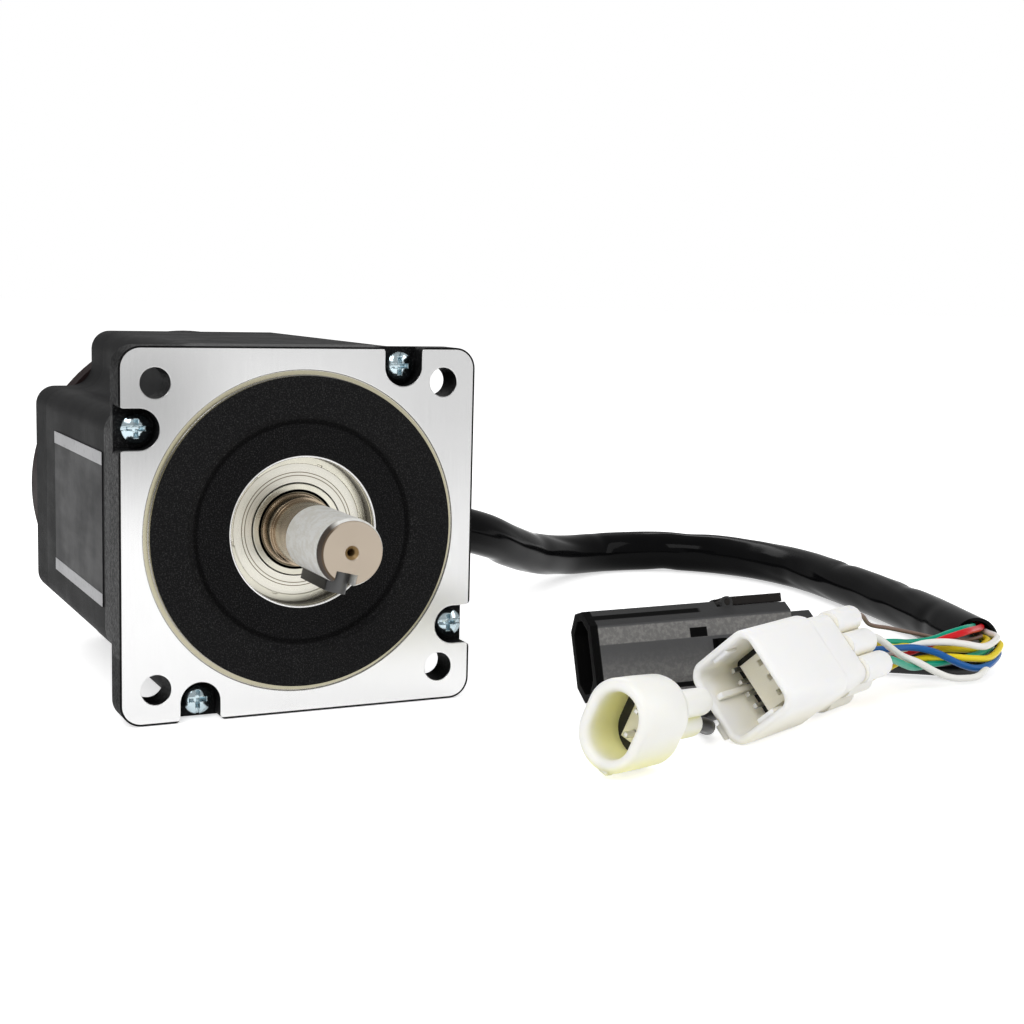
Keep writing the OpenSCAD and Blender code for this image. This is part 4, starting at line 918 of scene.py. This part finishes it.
class MOTOR_OT_shaft(bpy.types.Operator):
    """Finish the shaft, the key, the screws and the bearing rings"""

    bl_idname = "motor.shaft"
    bl_label = "Shaft, screws and bearings"

    def execute(self, context):
        m = context.scene.motor_metal
        dress(self.ground_shaft(), "shaft")
        dress(machined("key steel", (0.10, 0.10, 0.10), 0.40, (3500, 60, 3500), 0.25), "shaft_key")
        zinc = machined("zinc plating", m.zinc, 0.22, (700, 700, 700), 0.15, 0.2)
        dress(zinc, "cover_screws", "board_screws")
        dress(self.domed(machined("screw heads", m.zinc, 0.12, (1100, 1100, 1100), 0.5, 0.3)), "through_screws")
        ring = machined("bearing steel", (0.62, 0.60, 0.51), 0.24, (400, 5000, 400), 0.05)
        # Painted shadow: dark rings in the gap round the shaft
        self.lines(ring, RING_LINES)
        dress(ring, "front_outer_ring", "front_inner_ring", "rear_outer_ring", "rear_inner_ring")
        shield = Finish("bearing shield", (0.66, 0.64, 0.57), 0.32, 1)
        turned = shield.place(lathe_rings(), Pitch=3500)
        shield.set("Normal", shield.w.bump(turned["Across"], 0.12, 0.0001))
        shield.vary_roughness(turned["Across"], 0.24, 0.36)
        self.lines(shield, SHIELD_LINES)
        dress(shield, "front_shields", "rear_shields")
        dress(machined("ball steel", (0.85, 0.85, 0.86), 0.08, (90, 90, 90), 0.01), "front_balls", "rear_balls")
        dress(machined("cage brass", (0.72, 0.53, 0.24), 0.3, (300, 3000, 300)), "front_cage", "rear_cage")
        dress(machined("spring steel", (0.40, 0.42, 0.45), 0.35, (300, 300, 300)), "wave_washer")
        return {"FINISHED"}

    @staticmethod
    def ground_shaft():
        """Blasted along its keyed length, with a painted dark reflection on one side of its tip, dark in its centre
        hole
        """
        f = Finish("ground shaft", (0.36, 0.29, 0.21), 0.3, 1)
        w = f.w
        x, y, z = w.split(w.object_point())
        rings = f.place(lathe_rings(), Pitch=6500)
        reach = rings["Reach"]
        blasted = w.band(y, TIP_Y, BLAST_Y, 0.15)
        tip = w.step_mm(y, TIP_Y, TIP_Y + 0.1, 1, 0)
        grit = f.place(fine_grain(), Scale=2600)
        patches = w.step(f.place(smudges(), Scale=420)["Mask"], 0.4, 0.6)
        f.tint(blasted, w.blend(patches, (0.90, 0.885, 0.83), (1, 1, 0.97)))
        # Painted dark reflection: the left side of the tip's chamfer and of its rim is darkened
        left = w.step_mm(w.plus(w.times(x, -0.9), w.times(z, -0.3)), 0.5, 3)
        f.tint(w.times(w.step_mm(y, BAND_Y - 0.2, BAND_Y + 0.2, 1, 0), left), (0.055, 0.04, 0.03))
        f.tint(w.step_mm(reach, CENTRE_R - 0.02, CENTRE_R + 0.05, 1, 0), (0.26, 0.17, 0.07))
        rim = w.times(w.step_mm(reach, RIM_R - 0.1, RIM_R + 0.1), left)
        f.tint(tip, w.blend(rim, (0.43, 0.365, 0.295), (0.09, 0.065, 0.045)))
        f.set("Metallic", w.minus(1, w.times(blasted, 0.5)))
        rough = w.plus(0.16, w.times(blasted, w.step(grit["Height"], 0.3, 0.7, 0.26, 0.42)))
        f.set("Roughness", w.plus(rough, w.times(tip, 0.18)))
        edges = f.place(worn_edges(), Radius=0.0002)
        high = w.plus(w.times(grit["Height"], blasted), w.times(rings["Across"], w.times(tip, 0.8)))
        f.set("Normal", w.bump(high, 0.35, 0.00012, edges["Normal"]))
        return f

    @staticmethod
    def lines(f, marks):
        """Dark rings, each from one reach to the next in millimetres, with its share of the steel's light; on the
        bearing rings some are painted shadow
        """
        reach = f.place(lathe_rings(), Pitch=3500)["Reach"]
        for low, high, share in marks:
            f.tint(f.w.band(reach, low, high, 0.05), [c * share for c in (0.5, 0.42, 0.28)])

    @staticmethod
    def domed(f):
        """Heads that the light sees as domes"""
        w = f.w
        flat = w.vector("MULTIPLY", w.object_point(), (1, 0, 1))
        away = 1
        for across, above in SCREWS:
            reach = w.vector("LENGTH", w.vector("SUBTRACT", flat, (across * MM, 0, above * MM)))
            away = w.least(reach, away)
        fall = w.times(w.times(away, away), -1 / (2 * DOME_R * MM))
        f.set("Normal", w.bump(fall, 1, 1, f.now("Normal")))
        return f


class MOTOR_OT_inside(bpy.types.Operator):
    """Finish what lies inside: copper, insulators, rotor, sensor board"""

    bl_idname = "motor.inside"
    bl_label = "Inside"

    def execute(self, context):
        copper = machined("enamelled copper", (0.72, 0.30, 0.14), 0.3, (60, 60, 1300), 0.9, 0.2)
        dress(copper, "phase_coils")
        dress(moulded("slot insulator", (0.80, 0.78, 0.66), 0.5), "front_insulator", "rear_insulator")
        dress(machined("rotor laminations", (0.42, 0.43, 0.46), 0.4, (20, 2600, 20), 0.5), "rotor_core")
        dress(moulded("sintered magnet", (0.03, 0.032, 0.036), 0.4, 1400, 0.3), "rotor_magnets", "sensor_magnet")
        board = moulded("solder mask", (0.012, 0.12, 0.045), 0.28, 700, 0.08)
        tracks = board.w.step(board.place(streaks(), Stretch=(260, 60, 900))["Height"], 0.5, 0.54)
        board.set("Base Color", board.w.blend(tracks, (0.010, 0.11, 0.04), (0.02, 0.17, 0.06)))
        dress(board, "hall_board")
        dress(moulded("chip resin", (0.015, 0.015, 0.016), 0.5), "hall_sensors")
        return {"FINISHED"}


class MOTOR_OT_plugs(bpy.types.Operator):
    """Finish the three plugs"""

    bl_idname = "motor.plugs"
    bl_label = "Plugs"

    def execute(self, context):
        p = context.scene.motor_plugs
        dress(nylon("cream nylon", p.cream), "signal_insert", "sensor_insert")
        dress(self.power_body(p.black), "power_housing")
        dress(moulded("latch nylon", (0.018, 0.016, 0.015), 0.45, 1100, 0.35, tone=0.25, shine=0.08),
              "power_latch")
        dress(machined("tinned contact", (0.74, 0.74, 0.74), 0.3, (900, 900, 900), 0.1), "signal_pins",
              "sensor_pins", "power_blades")
        return {"FINISHED"}

    @staticmethod
    def power_body(base):
        """Black nylon, lighter along its flanks with scuffs and painted sheen, with painted shade in its mouth and
        windows
        """
        f = moulded("black nylon", base, 0.55, 1100, 0.35, tone=0.2)
        w = f.w
        spot, ahead, left, up = POWER_PLACE
        point = w.vector("SUBTRACT", w.object_point(), [v * MM for v in spot])
        depth = w.times(w.vector("DOT_PRODUCT", point, ahead), -1)
        across, height = w.vector("DOT_PRODUCT", point, left), w.vector("DOT_PRODUCT", point, up)
        scuffs = w.step(w.noise(w.object_point(), 900, 4, 0.7), 0.42, 0.62)
        wear_and_sheen = (0.24, 0.235, 0.225)
        # Painted sheen mixed with scuffs: a lighter strip high on the flank and a lighter foot
        f.tint(w.times(w.band(height, *SHEEN_WEAR_STRIP, 0.2), w.plus(0.45, w.times(scuffs, 0.4))), wear_and_sheen)
        f.tint(w.times(w.step_mm(height, *SHEEN_WEAR_FOOT, 0.8, 0), w.plus(0.5, w.times(scuffs, 0.5))), wear_and_sheen)
        f.tint(w.step_mm(height, *DARK_TOP, 0, 0.7), (0.012, 0.012, 0.012))
        # Painted shade: the inside of the mouth and the windows are painted black; the mouth's front edge is black
        # too
        black = w.step_mm(depth, MOUTH_DEPTH, MOUTH_DEPTH + 1, 1, 0)
        for place, half in ((across, MOUTH_HALF[0]), (height, MOUTH_HALF[1])):
            black = w.times(black, w.step_mm(w.absolute(place), half - 0.1, half + 0.1, 1, 0))
        black = w.most(black, w.step_mm(depth, *MOUTH_EDGE, 1, 0))
        flank = w.step_mm(across, *FLANK, 1, 0)
        for low_x, high_x, low_z, high_z in WINDOWS:
            window = w.times(w.band(depth, low_x, high_x, 0.1), w.band(height, low_z, high_z, 0.1))
            black = w.most(black, w.times(window, flank))
        f.tint(black, (0.004, 0.004, 0.004))
        f.set("Specular IOR Level", w.minus(0.2, w.times(black, 0.18)))
        return f


class MOTOR_PT_looks(bpy.types.Panel):
    """Lists the steps that dress the motor"""

    bl_idname = "MOTOR_PT_looks"
    bl_label = "Motor"
    bl_space_type = "VIEW_3D"
    bl_region_type = "UI"
    bl_category = "Motor"

    def draw(self, context):
        column = self.layout.column(align=True)
        for step in STEPS:
            column.operator(step.bl_idname)
        for name, _ in SETTINGS:
            settings = getattr(context.scene, name)
            box = self.layout.box()
            for key in settings.bl_rna.properties.keys():
                if key not in ("rna_type", "name"):
                    box.prop(settings, key)


SETTINGS = (("motor_stage", StageSettings), ("motor_metal", MetalSettings), ("motor_plugs", PlugSettings),
            ("motor_cable", CableSettings))
STEPS = (MOTOR_OT_stage, MOTOR_OT_housings, MOTOR_OT_cable, MOTOR_OT_leads, MOTOR_OT_flange, MOTOR_OT_body,
         MOTOR_OT_shaft, MOTOR_OT_inside, MOTOR_OT_plugs)


def register():
    for name, group in SETTINGS:
        bpy.utils.register_class(group)
        setattr(bpy.types.Scene, name, PointerProperty(type=group))
    for cls in (*STEPS, MOTOR_PT_looks):
        bpy.utils.register_class(cls)


def unregister():
    for cls in (MOTOR_PT_looks, *reversed(STEPS)):
        bpy.utils.unregister_class(cls)
    for name, group in reversed(SETTINGS):
        delattr(bpy.types.Scene, name)
        bpy.utils.unregister_class(group)


def main():
    register()
    for step in STEPS:
        area, name = step.bl_idname.split(".")
        getattr(getattr(bpy.ops, area), name)()


if __name__ == "__main__":
    main()
